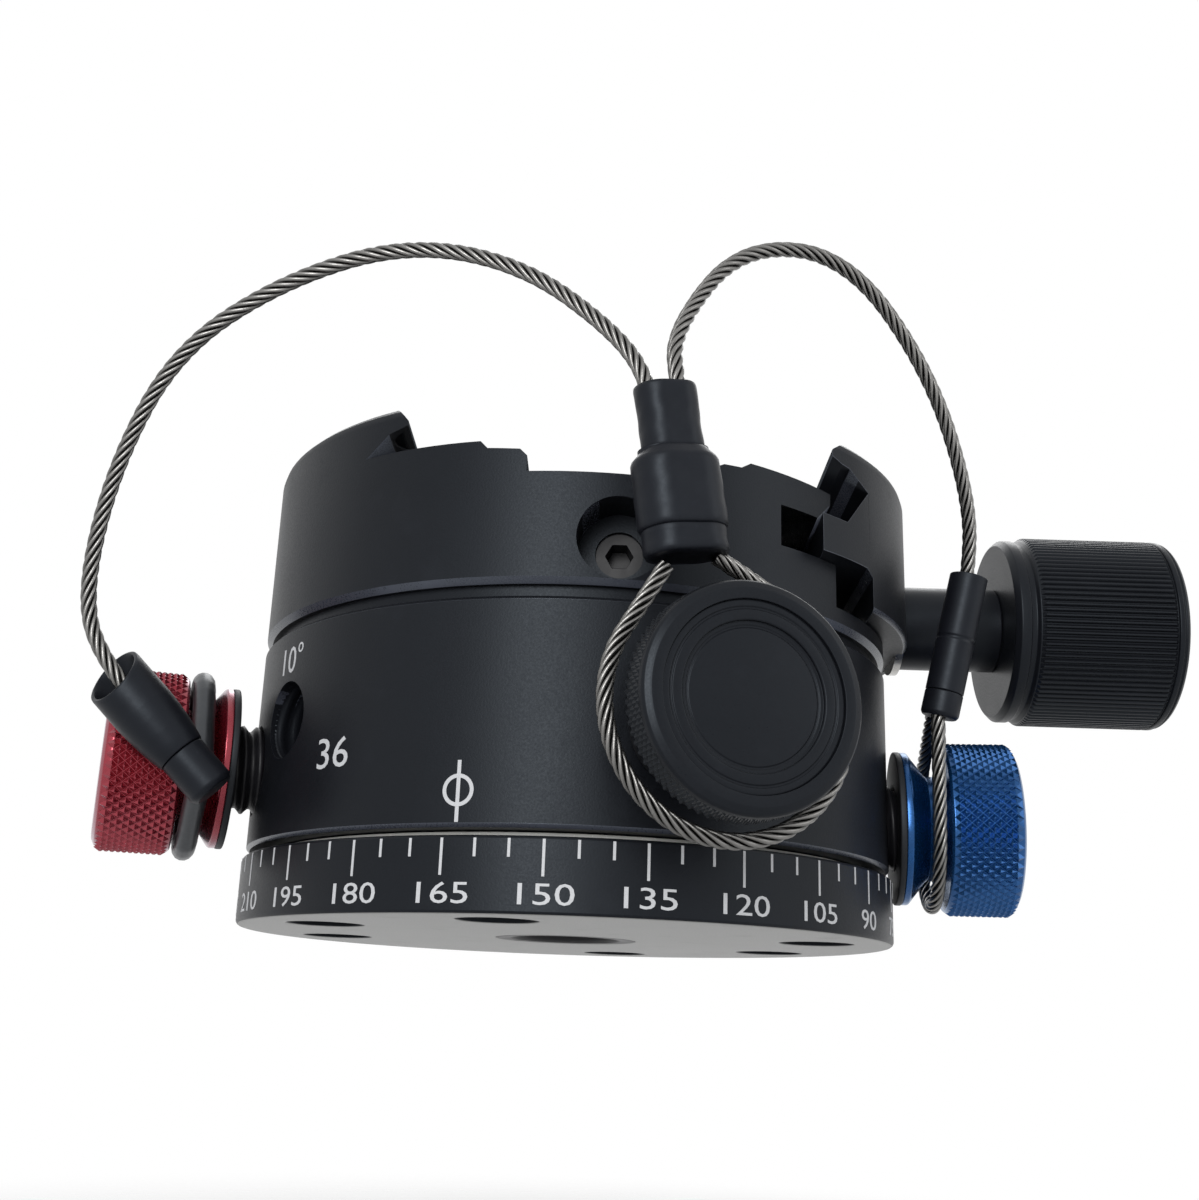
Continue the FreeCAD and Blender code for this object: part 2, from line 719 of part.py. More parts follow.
def lock():
    height = size("lock_height")
    place = radial(LOCK_ANGLE, height, 18.4)
    shoe = cylinder("PadBlank", "lock_stud_radius - 0.03", "lock_stud_start - 18.5", place)
    hollow = cylinder("PadHollow", "drum_radius + 0.3", "10", upright(0, 0, height - 5))
    keep(bored("LockPad", shoe, [hollow]), "lock_pad")
    stud = turned("LockStud", [
        ("0", "0"),
        ("lock_stud_radius - 0.45", "0"),
        ("lock_stud_radius", "0.45"),
        ("lock_stud_radius", "lock_front - 1.5 - lock_stud_start"),
        ("0", "lock_front - 1.5 - lock_stud_start"),
    ])
    stud.Placement = radial(LOCK_ANGLE, height, size("lock_stud_start"))
    keep(stud, "lock_stud")
    washer = flat_ring("LockWasher", "lock_stud_radius + 0.1", "5.2", "0", "0.6")
    washer.Placement = radial(LOCK_ANGLE, height, size("rotor_radius"))
    keep(washer, "lock_washer")
    knob = turned("LockKnob", [
        ("lock_stud_radius", "30.6 - lock_rear"),
        ("lock_neck", "30.6 - lock_rear"),
        ("lock_neck", "0 - 0.5"),
        ("lock_neck + 0.5", "0"),
        ("lock_radius - 0.3", "0"),
        ("lock_radius", "0.3"),
        ("lock_radius", "lock_front - lock_rear - 0.8"),
        ("lock_radius - 0.25", "lock_front - lock_rear - 0.25"),
        ("lock_radius - 0.8", "lock_front - lock_rear"),
        ("7.0", "lock_front - lock_rear"),
        ("7.0", "lock_front - lock_rear - 1.2"),
        ("lock_stud_radius", "lock_front - lock_rear - 1.2"),
    ])
    knob.Placement = radial(LOCK_ANGLE, height, size("lock_rear"))
    keep(knob, "lock_knob")
    cap = turned("LockKnobCap", [
        ("0", "0"),
        ("7.0", "0"),
        ("7.0", "1.0"),
        ("5.45", "1.0"),
        ("5.45", "0.7"),
        ("0", "0.7"),
    ])
    cap.Placement = radial(LOCK_ANGLE, height, size("lock_front") - 1.2)
    keep(cap, "lock_knob_cap")


# ---------------------------------------------------------------- index plungers


def plunger(colour, angle, ring, seat):
    """One index plunger. Its washer stands at the given distance from the head's axis."""
    height = size(ring)
    washer = flat_ring("PlungerWasher", "barrel_radius", "flange_radius + 0.05", "0", "flange_start")
    washer.Placement = radial(angle, height, seat)
    keep(washer, colour + "_washer")
    knob = turned("PlungerKnob", [
        ("barrel_radius", "flange_start"),
        ("flange_radius", "flange_start"),
        ("flange_radius", "flange_start + 0.5"),
        ("groove_radius + 0.2", "flange_start + 2.1"),
        ("groove_radius", "flange_start + 2.3"),
        ("groove_radius", "grip_start"),
        ("grip_radius - 0.3", "grip_start"),
        ("grip_radius", "grip_start + 0.3"),
        ("grip_radius", "grip_end - 1.5"),
        ("grip_radius - 0.2", "grip_end - 0.75"),
        ("grip_radius - 0.75", "grip_end - 0.2"),
        ("grip_radius - 1.5", "grip_end"),
        ("0", "grip_end"),
        ("0", "grip_start + 3.4"),
        ("barrel_radius", "grip_start + 3.4"),
    ])
    knob.Placement = radial(angle, height, seat)
    keep(knob, colour + "_knob")

    foot = seat - size("barrel_depth")
    barrel = turned("PlungerBarrel", [
        ("nose_radius + 0.06", "0"),
        ("barrel_radius - 0.5", "0"),
        ("barrel_radius", "0.5"),
        ("barrel_radius", "barrel_depth + 7.5"),
        ("spring_bore", "barrel_depth + 7.5"),
        ("spring_bore", "0.8"),
        ("nose_radius + 0.06", "0.8"),
    ])
    barrel.Placement = radial(angle, height, foot)
    keep(barrel, colour + "_barrel")

    nose = turned("PlungerNose", [
        ("0", "0"),
        ("nose_radius * 0.5", "0"),
        ("nose_radius", "0.95"),
        ("nose_radius", "7.0"),
        ("spring_bore - 0.08", "7.0"),
        ("spring_bore - 0.08", "7.75"),
        ("0", "7.75"),
    ])
    nose.Placement = radial(angle, height, foot - 6.15)
    keep(nose, colour + "_nose")

    spring_place = radial(angle, height, foot + 1.85)
    keep(coil("Spring", size("spring_bore") - 0.4, 0.2, 7.5, 10, spring_place), colour + "_spring")
    screw_place = radial(angle, height, foot + 9.6)
    screw = cylinder("StopScrew", "spring_bore", "2.2", screw_place)
    key = hexagon_socket("StopKey", 1.5, 1.3, radial(angle, height, foot + 10.6))
    keep(bored("StopScrewKeyed", screw, [key]), colour + "_stop_screw")


# ---------------------------------------------------------------- tethers


def rope(label, points, clear=None):
    """A round rope along straight runs joined by tangent arcs, as one solid.

    Where a moving sleeve needs room, the rope is trimmed by the clear space round it.
    """
    edges = []
    start = points[0]
    for before, corner, after in zip(points, points[1:], points[2:]):
        run_in = corner - before
        run_out = after - corner
        half = run_in.getAngle(run_out) / 2
        cut = 0.45 * min(run_in.Length, run_out.Length)
        radius = cut / math.tan(half)
        inward = FreeCAD.Vector(run_in).normalize()
        outward = FreeCAD.Vector(run_out).normalize()
        first = corner - inward * cut
        last = corner + outward * cut
        bisector = (outward - inward).normalize()
        middle = corner + bisector * (radius / math.cos(half) - radius)
        edges.append(Part.LineSegment(start, first).toShape())
        edges.append(Part.Arc(first, middle, last).toShape())
        start = last
        print("  %s: turn %.0f degrees, radius %.1f mm" % (label, math.degrees(2 * half), radius))
    edges.append(Part.LineSegment(start, points[-1]).toShape())
    for point in points:
        print("  %s point (%.2f, %.2f, %.2f)" % (label, point.x, point.y, point.z))
    blank = swept(label, edges, size("rope_diameter"))
    keep(trimmed(blank, clear) if clear else blank, label)


def trimmed(blank, cutter):
    """The largest piece of a swept rope that is left outside a cutter."""
    doc.recompute()
    rest = doc.addObject("Part::Feature", "TrimmedRope")
    rest.Shape = max(blank.Shape.cut(cutter.Shape).Solids, key=lambda solid: solid.Volume)
    return rest


def swept(label, edges, diameter):
    """A round section swept along joined edges; its volume is compared with section times length."""
    path = Part.Wire(edges)
    first = path.Edges[0]
    start = first.valueAt(first.FirstParameter)
    direction = first.tangentAt(first.FirstParameter)
    section = Part.Wire(Part.makeCircle(diameter / 2, start, direction))
    shape = path.makePipeShell([section], True, False)
    expected = math.pi * (diameter / 2) ** 2 * path.Length
    if abs(shape.Volume - expected) > 0.01 * expected:
        raise RuntimeError("%s: volume %.2f, expected %.2f" % (label, shape.Volume, expected))
    print("%s: %.1f mm long" % (label, path.Length))
    obj = doc.addObject("Part::Feature", "Rope")
    obj.Shape = shape
    return obj


def tangent_point(entry, radius, side):
    """Where a line from a point outside touches a circle about the origin, on one side."""
    distance = math.hypot(*entry)
    base = math.atan2(entry[1], entry[0])
    angle = base + side * math.acos(radius / distance)
    return radius * math.cos(angle), radius * math.sin(angle), angle


def loop(label, angle, axial, height, radius, left_entry, right_entry, diameter, crimp):
    """A rope loop in a plane square to a radial axis, both ends trimmed where they enter the crimp.

    Entries are (sideways, up) from the loop's middle, sideways counter-clockwise about +Z.
    """
    def place(side, up):
        return at(angle, axial, side, height + up)

    left = tangent_point(left_entry, radius, 1)
    right = tangent_point(right_entry, radius, -1)
    sweep = left[2] + (right[2] + 2 * math.pi - left[2]) / 2
    far = place(radius * math.cos(sweep), radius * math.sin(sweep))
    edges = [
        Part.LineSegment(place(*left_entry), place(left[0], left[1])).toShape(),
        Part.Arc(place(left[0], left[1]), far, place(right[0], right[1])).toShape(),
        Part.LineSegment(place(right[0], right[1]), place(*right_entry)).toShape(),
    ]
    return keep(trimmed(swept(label, edges, diameter), crimp), label)


def sleeve_frame(angle, ends, outward):
    """Placement whose local Z runs from a sleeve's bottom to its top, with its length."""
    bottom, top = [at(angle, *end) for end in ends]
    length = (top - bottom).Length
    axis = (top - bottom).normalize()
    across = outward.cross(axis).normalize()
    facing = axis.cross(across)
    matrix = FreeCAD.Matrix(across.x, facing.x, axis.x, bottom.x,
                            across.y, facing.y, axis.y, bottom.y,
                            across.z, facing.z, axis.z, bottom.z,
                            0, 0, 0, 1)
    return FreeCAD.Placement(matrix), length


def along(placement, distance, across=0.0):
    """A point on a sleeve's axis, or beside it, at a distance from its bottom."""
    return placement.multVec(FreeCAD.Vector(across, 0, distance))


def oval(name, wide, deep, start, end, placement):
    """A round-ended bar between two distances along the placement's local Z."""
    half = (wide - deep) / 2
    length = "%g" % (end - start)
    block = doc.addObject("Part::Box", name + "Block")
    block.Length = wide - deep
    block.Width = deep
    block.setExpression("Height", bound(length))
    block.Placement = placement * FreeCAD.Placement(FreeCAD.Vector(-half, -deep / 2, start), FreeCAD.Rotation())
    ends = [cylinder(name + "End", "%g" % (deep / 2), length,
                     placement * FreeCAD.Placement(FreeCAD.Vector(side * half, 0, start), FreeCAD.Rotation()))
            for side in (-1, 1)]
    return joined(name, [block] + ends)


def oval_tube(name, wide, deep, hollow_wide, hollow_deep, start, end, placement):
    """A shrunk-on sleeve of oval section between two distances along the placement's local Z."""
    outer = oval(name + "Outer", wide, deep, start, end, placement)
    inner = oval(name + "Inner", hollow_wide, hollow_deep, start, end, placement)
    return bored(name, outer, [inner])


def main_tether():
    place, length = sleeve_frame(LOCK_ANGLE, MAIN_SLEEVE, at(LOCK_ANGLE, 1, 0, 0))
    collar = size("main_collar_length")
    crimp = size("main_ferrule_length")
    keep(oval_tube("MainCollar", 6.6, 4.4, 5.7, 3.2, 0, collar, place), "main_sleeve_collar")
    keep(oval_tube("MainLower", 7.0, 4.8, 5.7, 3.2, collar, crimp, place), "main_sleeve_lower")
    keep(oval_tube("MainUpper", 5.0, 3.5, 4.3, 2.5, crimp, length, place), "main_sleeve_upper")
    keep(oval("MainFerrule", 5.6, 3.1, 0, crimp, place), "main_ferrule")
    hull = oval("MainHull", 7.0, 4.8, 0, crimp, place)
    doc.recompute()
    height = size("lock_height")
    left, right = [(side, up - height) for side, up in MAIN_STRANDS]
    loop("tether_loop", LOCK_ANGLE, MAIN_SLEEVE[0][0], height, size("main_loop_radius"), left, right,
         size("rope_diameter"), hull)
    starts = [(along(place, crimp, side * STRAND_SPACING / 2), along(place, length, side * STRAND_SPACING / 2))
              for side in (-1, 1)]
    return sorted(starts, key=lambda pair: pair[0].x)


def plunger_tether(colour, angle, ring, axial, foot, diameter, radius, crimp):
    """The loop round one plunger's groove, both strands trimmed by the crimp."""
    reach = math.hypot(*foot)
    spacing = 0.5 * diameter + 0.06
    shift = (-foot[1] / reach * spacing, foot[0] / reach * spacing)
    left = (foot[0] + shift[0], foot[1] + shift[1])
    right = (foot[0] - shift[0], foot[1] - shift[1])
    loop(colour + "_loop", angle, axial, size(ring), radius, left, right, diameter, crimp)


def red_tether():
    place, length = sleeve_frame(RED_ANGLE, RED_SLEEVE, UP)
    mouth = "%g" % length
    sleeve = turned("RedSleeve", [
        ("1.55", "1.0"),
        ("2.0", "1.0"),
        ("2.35", "3.0"),
        ("2.55", "5.5"),
        ("2.55", mouth),
        ("2.15", mouth),
        ("1.95", "6.5"),
        ("1.55", "5.2"),
    ])
    sleeve.Placement = place
    keep(sleeve, "red_sleeve")
    ferrule = turned("RedFerrule", [
        ("0", "0 - 3.0"),
        ("1.6", "0 - 3.0"),
        ("1.9", "0 - 2.6"),
        ("1.9", "0.95"),
        ("1.5", "1.0"),
        ("1.5", "5.0"),
        ("0", "5.0"),
    ])
    ferrule.Placement = place
    keep(ferrule, "red_ferrule")
    crimp = joined("RedCrimp", [ferrule, sleeve])
    doc.recompute()
    plunger_tether("red", RED_ANGLE, "middle_ring", RED_LOOP_OUT, RED_FOOT, size("black_rope_diameter"),
                   size("red_loop_radius"), crimp)
    return [along(place, length), along(place, 5.0)]


def blue_tether():
    place, length = sleeve_frame(BLUE_ANGLE, BLUE_SLEEVE, at(BLUE_ANGLE, 1, 0, 0))
    mouth = "%g" % length
    sleeve = flat_ring("BlueSleeve", "1.4", "1.7", "0.5", mouth)
    sleeve.Placement = place
    keep(sleeve, "blue_sleeve")
    ferrule = turned("BlueFerrule", [
        ("0", "0 - 1.8"),
        ("1.5", "0 - 1.8"),
        ("1.7", "0 - 1.5"),
        ("1.7", "0.45"),
        ("1.35", "0.5"),
        ("1.35", "6.0"),
        ("0", "6.0"),
    ])
    ferrule.Placement = place
    keep(ferrule, "blue_ferrule")
    doc.recompute()
    plunger_tether("blue", BLUE_ANGLE, "low_ring", BLUE_LOOP_OUT, BLUE_FOOT, size("rope_diameter"),
                   size("blue_loop_radius"), ferrule)
    clear = cylinder("BlueSleeveRoom", "3", "%g" % (length + SLEEVE_ROOM), place)
    return [along(place, length), along(place, 6.0)], clear


def tethers():
    left_start, right_start = main_tether()
    red_end = red_tether()
    blue_end, blue_room = blue_tether()
    rope("red_cable", list(left_start) + [FreeCAD.Vector(*point) for point in RED_ROUTE] + red_end)
    rope("blue_cable", list(right_start) + [FreeCAD.Vector(*point) for point in BLUE_ROUTE] + blue_end, blue_room)


def build():
    base_ring()
    tripod_bush()
    glide_preload_screws()
    index_drum()
    drum_dowels()
    bearing()
    retaining_cap()
    rotor_body()
    clamp_base()
    clamp_screws()
    clamp_grub_screw()
    guide_pins()
    jaw_springs()
    moving_jaw()
    clamp_drive()
    lock()
    plunger("blue", BLUE_ANGLE, "low_ring", BLUE_SEAT)
    plunger("red", RED_ANGLE, "middle_ring", RED_SEAT)
    tethers()


def check():
    """Stop before anything is written if a feature failed or a shape isn't sound."""
    doc.recompute()
    for obj in doc.Objects:
        if "Invalid" in obj.State or "Error" in obj.State:
            raise RuntimeError("%s failed: %s" % (obj.Label, obj.State))
    for obj in sub_parts:
        if obj.Shape.isNull() or not obj.Shape.isValid():
            raise RuntimeError("%s has no sound shape" % obj.Label)
        if not obj.Shape.Solids:
            raise RuntimeError("%s has no solid" % obj.Label)


build()
check()
os.makedirs("parts", exist_ok=True)
for sub_part in sub_parts:
    sub_part.Shape.exportStep("parts/%s.step" % sub_part.Label)
    print("%-24s %2d solids %10.1f mm3" % (sub_part.Label, len(sub_part.Shape.Solids), sub_part.Shape.Volume))
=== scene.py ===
import json
import math

import bmesh
import bpy
from bpy.props import FloatProperty, FloatVectorProperty, IntProperty, PointerProperty
from mathutils import Matrix, Vector


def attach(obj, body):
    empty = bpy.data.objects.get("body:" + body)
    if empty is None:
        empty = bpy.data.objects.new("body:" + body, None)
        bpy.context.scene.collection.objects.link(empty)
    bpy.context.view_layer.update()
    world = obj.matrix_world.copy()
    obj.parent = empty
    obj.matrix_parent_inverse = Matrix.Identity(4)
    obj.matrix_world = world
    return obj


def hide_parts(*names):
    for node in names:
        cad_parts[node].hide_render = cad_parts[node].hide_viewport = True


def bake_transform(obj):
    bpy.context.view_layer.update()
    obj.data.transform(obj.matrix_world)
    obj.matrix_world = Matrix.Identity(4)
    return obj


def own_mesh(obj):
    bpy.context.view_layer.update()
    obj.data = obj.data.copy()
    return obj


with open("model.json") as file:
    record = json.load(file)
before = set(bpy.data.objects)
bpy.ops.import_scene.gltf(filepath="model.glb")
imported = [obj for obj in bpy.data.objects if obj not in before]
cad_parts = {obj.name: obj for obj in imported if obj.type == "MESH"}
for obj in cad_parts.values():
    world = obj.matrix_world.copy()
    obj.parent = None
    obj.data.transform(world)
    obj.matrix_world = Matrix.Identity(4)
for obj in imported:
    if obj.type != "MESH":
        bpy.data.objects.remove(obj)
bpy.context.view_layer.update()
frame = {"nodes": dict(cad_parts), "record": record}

bl_info = {
    "name": "Panoramic head looks",
    "version": (1, 0, 0),
    "blender": (4, 5, 0),
    "location": "3D View > Sidebar > Pan head",
    "description": "Dresses the panoramic tripod head in its finishes and sets up its studio",
    "category": "Object",
}

# Shapes are worked out in millimetres, +Z up, with the origin in the middle of the base's underside.
# Angles are degrees about +Z from +X. The clamp's screw lies along +X.
MM = 0.001
UP = Vector((0.0, 0.0, 1.0))

LOCK_ANGLE = -70.9
LOCK_HEIGHT = 14.8
RED = {"name": "red", "angle": -160.5, "height": 13.2, "seat": 31.9}
BLUE = {"name": "blue", "angle": -5.7, "height": 10.95, "seat": 30.3}
SPARE_HOLES = ((-144.3, 16.45), (180.0, 10.95), (14.0, 13.2), (34.0, 16.45))
ROTOR_RADIUS = 29.7
# Middle X of the moving jaw's rim.
JAW_RIM_MIDDLE = 2.25
CLAMP_SCREW_HEIGHT = 31.2

# Where the profiles of turned pieces have their zero along their axis, and the radii of their grips.
CLAMP_SPACER_START, CLAMP_KNOB_START, CLAMP_CAP_START = 31.6, 41.1, 56.3
LOCK_KNOB_START, LOCK_FACE_START = 37.4, 40.2
CLAMP_KNOB_RADIUS, LOCK_KNOB_RADIUS, PLUNGER_KNOB_RADIUS = 9.3, 8.6, 7.9
TRIPOD_PITCH = 1.5875
PLUNGER_PITCH = 1.25

# The degree scale: where its zero lies, its ticks as (count, low, high) and its figures.
SCALE_ZERO_ANGLE = 57.8
TICKS = ((72, 4.17, 5.55), (24, 2.8, 4.18))
FIGURE_STEP = 15
FIGURE_LOW = 0.75
FIGURE_STRETCH = 1.48
# The rotor's index mark: a line between two heights and a ring across it, and the rotor's numbers as
# text, height of a capital, angle, lower edge and stretch.
INDEX_MARK_ANGLE = -105.4
INDEX_LINE = (6.75, 11.45)
INDEX_RING_HEIGHT, INDEX_RING_RADIUS = 9.16, 1.1
INDEX_WIDTH = 0.3
ROTOR_NUMBERS = (("10\u00b0", 2.3, -144.0, 20.5, 1.0), ("36", 2.45, -129.2, 11.5, 1.15))
# Printed marks reach from inside their surface to just outside it.
# The base plate's rim is held to its limit.
SCALE_INNER, SCALE_OUTER = 29.88, 29.985
ROTOR_INNER, ROTOR_OUTER = 29.6, 29.72
RIM_LIMIT = 29.96

# Sleeves by their two ends (out, sideways, height), strands by (sideways, height), and the feet of the
# loops by the same two measured from the plunger's axis.
MAIN_SLEEVE = ((36.8, -3.5, 25.8), (36.8, -5.55, 39.2))
MAIN_STRANDS = ((-5.16, 24.9), (-1.18, 26.2))
RED_SLEEVE = ((36.0, 11.1, 11.6), (43.7, 10.1, 19.3))
BLUE_SLEEVE = ((34.26, -7.94, 21.6), (36.86, -8.88, 32.7))
RED_FOOT = (11.1, -2.3)
BLUE_FOOT = (-7.94, 10.65)
# Loops as (distance out from the axis, radius).
MAIN_LOOP, RED_LOOP, BLUE_LOOP = (36.8, 9.6), (35.1, 7.3), (33.7, 7.1)
# Control points of the two free tethers, their lengths in metres and the ropes' diameters.
RED_ROUTE = (
    (6.55, -36.67, 33.94), (5.82, -36.93, 39.04), (3.10, -35.90, 44.00), (-4.80, -34.10, 50.90),
    (-14.60, -32.30, 53.50), (-24.90, -30.30, 50.80), (-33.60, -28.40, 45.10), (-38.20, -26.40, 35.40),
    (-40.10, -24.20, 25.00), (-37.82, -24.11, 19.30), (-33.70, -23.22, 15.12),
)
BLUE_ROUTE = (
    (8.51, -36.00, 34.26), (7.78, -36.25, 39.36), (7.40, -34.40, 45.20), (13.20, -30.30, 55.50),
    (22.80, -26.30, 57.20), (30.90, -20.90, 49.00), (35.40, -15.50, 39.20), (35.80, -12.50, 32.70),
    (34.61, -11.93, 27.42),
)
RED_LENGTH = 0.0860
BLUE_LENGTH = 0.0702
ROPE_DIAMETER = 1.3
BLACK_ROPE_DIAMETER = 1.9
# A laid rope's strands, the sides of each, and the core's radius as a share of a strand's.
STRANDS = 6
STRAND_SIDES = 8
CORE_SHARE = 1.05
# How far the red sleeve's mouth is cut at a slant.
MOUTH_SLANT = 3.0

# Gap between a loop's two strands at its foot, and the steps of ropes, loops and oval sleeves.
STRAND_GAP = 0.06
ROPE_STEP, LOOP_STEP, OVAL_STEP = 0.22, 0.4, 0.35

FINISH_PREFIX = "finish_"
# The slot of each CAD node.
NODE_SLOTS = {part["node"]: part["material_slot"] for part in frame["record"]["subparts"]}
# Painted light: a blue tint on the reflections of the anodised and plastic finishes, in place of cool light
# from the lamps.
COOL_LIGHT_TINT = (0.80, 0.90, 1.0)
# Painted reflection on the base plate's underside: its pale grey, and the height in millimetres below which
# it is painted.
UNDERSIDE_PAINTED_REFLECTION = (0.26, 0.26, 0.255)
PAINTED_REFLECTION_TOP = 0.06
BRASS = (0.62, 0.45, 0.2)
BLACK_OXIDE = (0.009, 0.009, 0.011)
PALE_PLASTIC = (0.72, 0.72, 0.68)
BLACK_PLASTIC = (0.008, 0.008, 0.009)
# The sleeves' blue cast is painted cool light on their black.
SHRINK_SLEEVE = (0.0055, 0.006, 0.0085)
ROPE_COAT = (0.009, 0.0095, 0.011)
FLOOR_TONES = ((0.84, 0.84, 0.84), (0.88, 0.88, 0.88))

# Distances within which vertices are merged, in metres for a node and in millimetres for marks.
MERGE_DISTANCE, MARK_MERGE_DISTANCE = 2e-6, 1e-5
# How far a corner may lie from a rim that is shaded as round.
RIM_TOLERANCE = 0.05
# Faces whose normal's Z lies between these slope down and out, and take the finish with the painted edge
# highlight.
HIGHLIGHT_SLOPES = (-0.85, -0.5)
# A capital's share of the font size.
CAP_SHARE = 0.69
SHADING_WEIGHT = 60

CAMERA_LENS = 42.10
CAMERA_PLACE = (3.13, -134.32, -7.51)
CAMERA_UP = (-0.0317, -0.29, 0.9565)
CAMERA_FORWARD = (-0.0074, 0.957, 0.2899)
# The floor is solid up to the first radius and has faded out at the second, in metres.
FLOOR_FULL = 0.06
FLOOR_EDGE = 0.15
# Lamps: name, place and size in metres, share of the key lamp's power.
LAMPS = (
    ("Key lamp", (-0.08, -0.46, 0.13), (0.16, 0.30), 1.0),
    ("Side lamp", (0.46, -0.20, 0.20), (0.24, 0.30), 0.22),
    ("Back lamp", (0.05, 0.40, 0.42), (0.50, 0.26), 0.6),
)
LAMP_TARGET = (0.0, 0.0, 0.025)


# ---- places


def out_from(angle, out, side, up):
    """A point out along an angle, then sideways counter-clockwise, then up."""
    turn = math.radians(angle)
    return Vector((out * math.cos(turn) - side * math.sin(turn),
                   out * math.sin(turn) + side * math.cos(turn), up))


def axes(across, facing, along, start):
    """A matrix whose local X, Y and Z are the three directions and whose origin is the start."""
    matrix = Matrix((across, facing, along)).transposed().to_4x4()
    matrix.translation = start
    return matrix


def facing_out(angle, height, start=0.0):
    """Local Z points outward at an angle round the head and local X points up."""
    outward = out_from(angle, 1, 0, 0)
    return axes(UP, outward.cross(UP), outward, out_from(angle, start, 0, height))


def along_screw(start):
    """Local Z lies on the clamp's screw from a starting X."""
    return axes(Vector((0, 0, -1)), Vector((0, 1, 0)), Vector((1, 0, 0)),
                Vector((start, 0, CLAMP_SCREW_HEIGHT)))


def sleeve_frame(angle, ends, outward):
    """Local Z runs from a sleeve's lower end to its upper end; gives the length too."""
    low, high = [out_from(angle, *end) for end in ends]
    along = (high - low).normalized()
    across = outward.cross(along).normalized()
    return axes(across, along.cross(across), along, low), (high - low).length


# ---- node trees


def math_method(operation, swapped=False):
    """A method that joins a wire and another value by one Math node."""
    def method(self, other=0.0):
        return self.joined(operation, *((other, self) if swapped else (self, other)))
    return method


class Wire:
    """A node's output that takes part in sums: each operation adds one Math node."""

    __add__, __radd__ = math_method("ADD"), math_method("ADD", True)
    __sub__, __rsub__ = math_method("SUBTRACT"), math_method("SUBTRACT", True)
    __mul__, __rmul__ = math_method("MULTIPLY"), math_method("MULTIPLY", True)
    __truediv__ = math_method("DIVIDE")
    __mod__ = math_method("FLOORED_MODULO")
    floor = math_method("FLOOR")
    above = math_method("GREATER_THAN")
    highest = math_method("MAXIMUM")

    def __init__(self, tree, socket):
        self.tree = tree
        self.socket = socket

    def joined(self, operation, first, second):
        node = self.tree.nodes.new("ShaderNodeMath")
        node.operation = operation
        for slot, value in zip(node.inputs, (first, second)):
            feed(self.tree, slot, value)
        return Wire(self.tree, node.outputs[0])


def feed(tree, slot, value):
    """Put a value or a link into a node's input."""
    if isinstance(value, Wire):
        tree.links.new(value.socket, slot)
    else:
        slot.default_value = value


def make(tree, kind, settings=None, values=None, output=0):
    """Add a node: its settings first, then the values or links of its sockets."""
    node = tree.nodes.new(kind)
    for name, value in (settings or {}).items():
        setattr(node, name, value)
    for name, value in (values or {}).items():
        feed(tree, node.inputs[name], value)
    return Wire(tree, node.outputs[output]) if node.outputs else node


class Finish:
    """A material whose surface is one Principled shader fed by procedural patterns."""

    def __init__(self, name):
        self.material = bpy.data.materials.new(name)
        self.material.use_nodes = True
        self.tree = self.material.node_tree
        self.shader = self.tree.nodes["Principled BSDF"]
        self.place = self.make("ShaderNodeTexCoord", output=3)

    def make(self, kind, settings=None, values=None, output=0):
        return make(self.tree, kind, settings, values, output)

    def noise(self, size, detail=2.0, stretch=None):
        """Noise whose features are about size millimetres, as a value round 0.5."""
        place = self.place
        if stretch:
            place = self.make("ShaderNodeMapping", values={"Vector": place, "Scale": stretch})
        return self.make("ShaderNodeTexNoise", values={"Vector": place, "Scale": 1.0 / (size * MM),
                                                       "Detail": detail, "Roughness": 0.55})

    def rings(self, size):
        """Lathe marks: noise that changes only along a turned piece's profile."""
        turning = self.make("ShaderNodeAttribute", {"attribute_name": "turning"}, output=2)
        return self.make("ShaderNodeTexNoise", {"noise_dimensions": "1D"},
                         {"W": turning, "Scale": 1.0 / size, "Detail": 2.0, "Roughness": 0.6})

    def mix(self, factor, dark, light):
        """A colour between two, both given as red, green and blue or as links."""
        node = self.tree.nodes.new("ShaderNodeMix")
        node.data_type = "RGBA"
        feed(self.tree, node.inputs[0], factor)
        for slot, colour in ((6, dark), (7, light)):
            feed(self.tree, node.inputs[slot], colour if isinstance(colour, Wire) else (*colour, 1.0))
        return Wire(self.tree, node.outputs[2])

    def tinted(self, factor, colour, dark, light):
        """A colour that varies between two shares of itself."""
        return self.mix(factor, shaded(colour, dark), shaded(colour, light))

    def ramp(self, value, low, high, **settings):
        """A value stretched so that low becomes 0 and high becomes 1."""
        return self.make("ShaderNodeMapRange", settings, {"Value": value, "From Min": low, "From Max": high})

    def bump(self, height, depth, strength=1.0, under=None):
        """A Bump node for a height of one that stands depth millimetres proud."""
        values = {"Height": height, "Distance": depth * MM, "Strength": strength}
        if under:
            values["Normal"] = under
        return self.make("ShaderNodeBump", values=values)

    def surface(self, **sockets):
        """Set the shader's own sockets, with spaces for underscores."""
        for name, value in sockets.items():
            feed(self.tree, self.shader.inputs[name.replace("_", " ").title().replace("Ior", "IOR")], value)
        return self.material


def shaded(colour, share):
    """A colour times a share, channel by channel."""
    return tuple(channel * share for channel in colour)


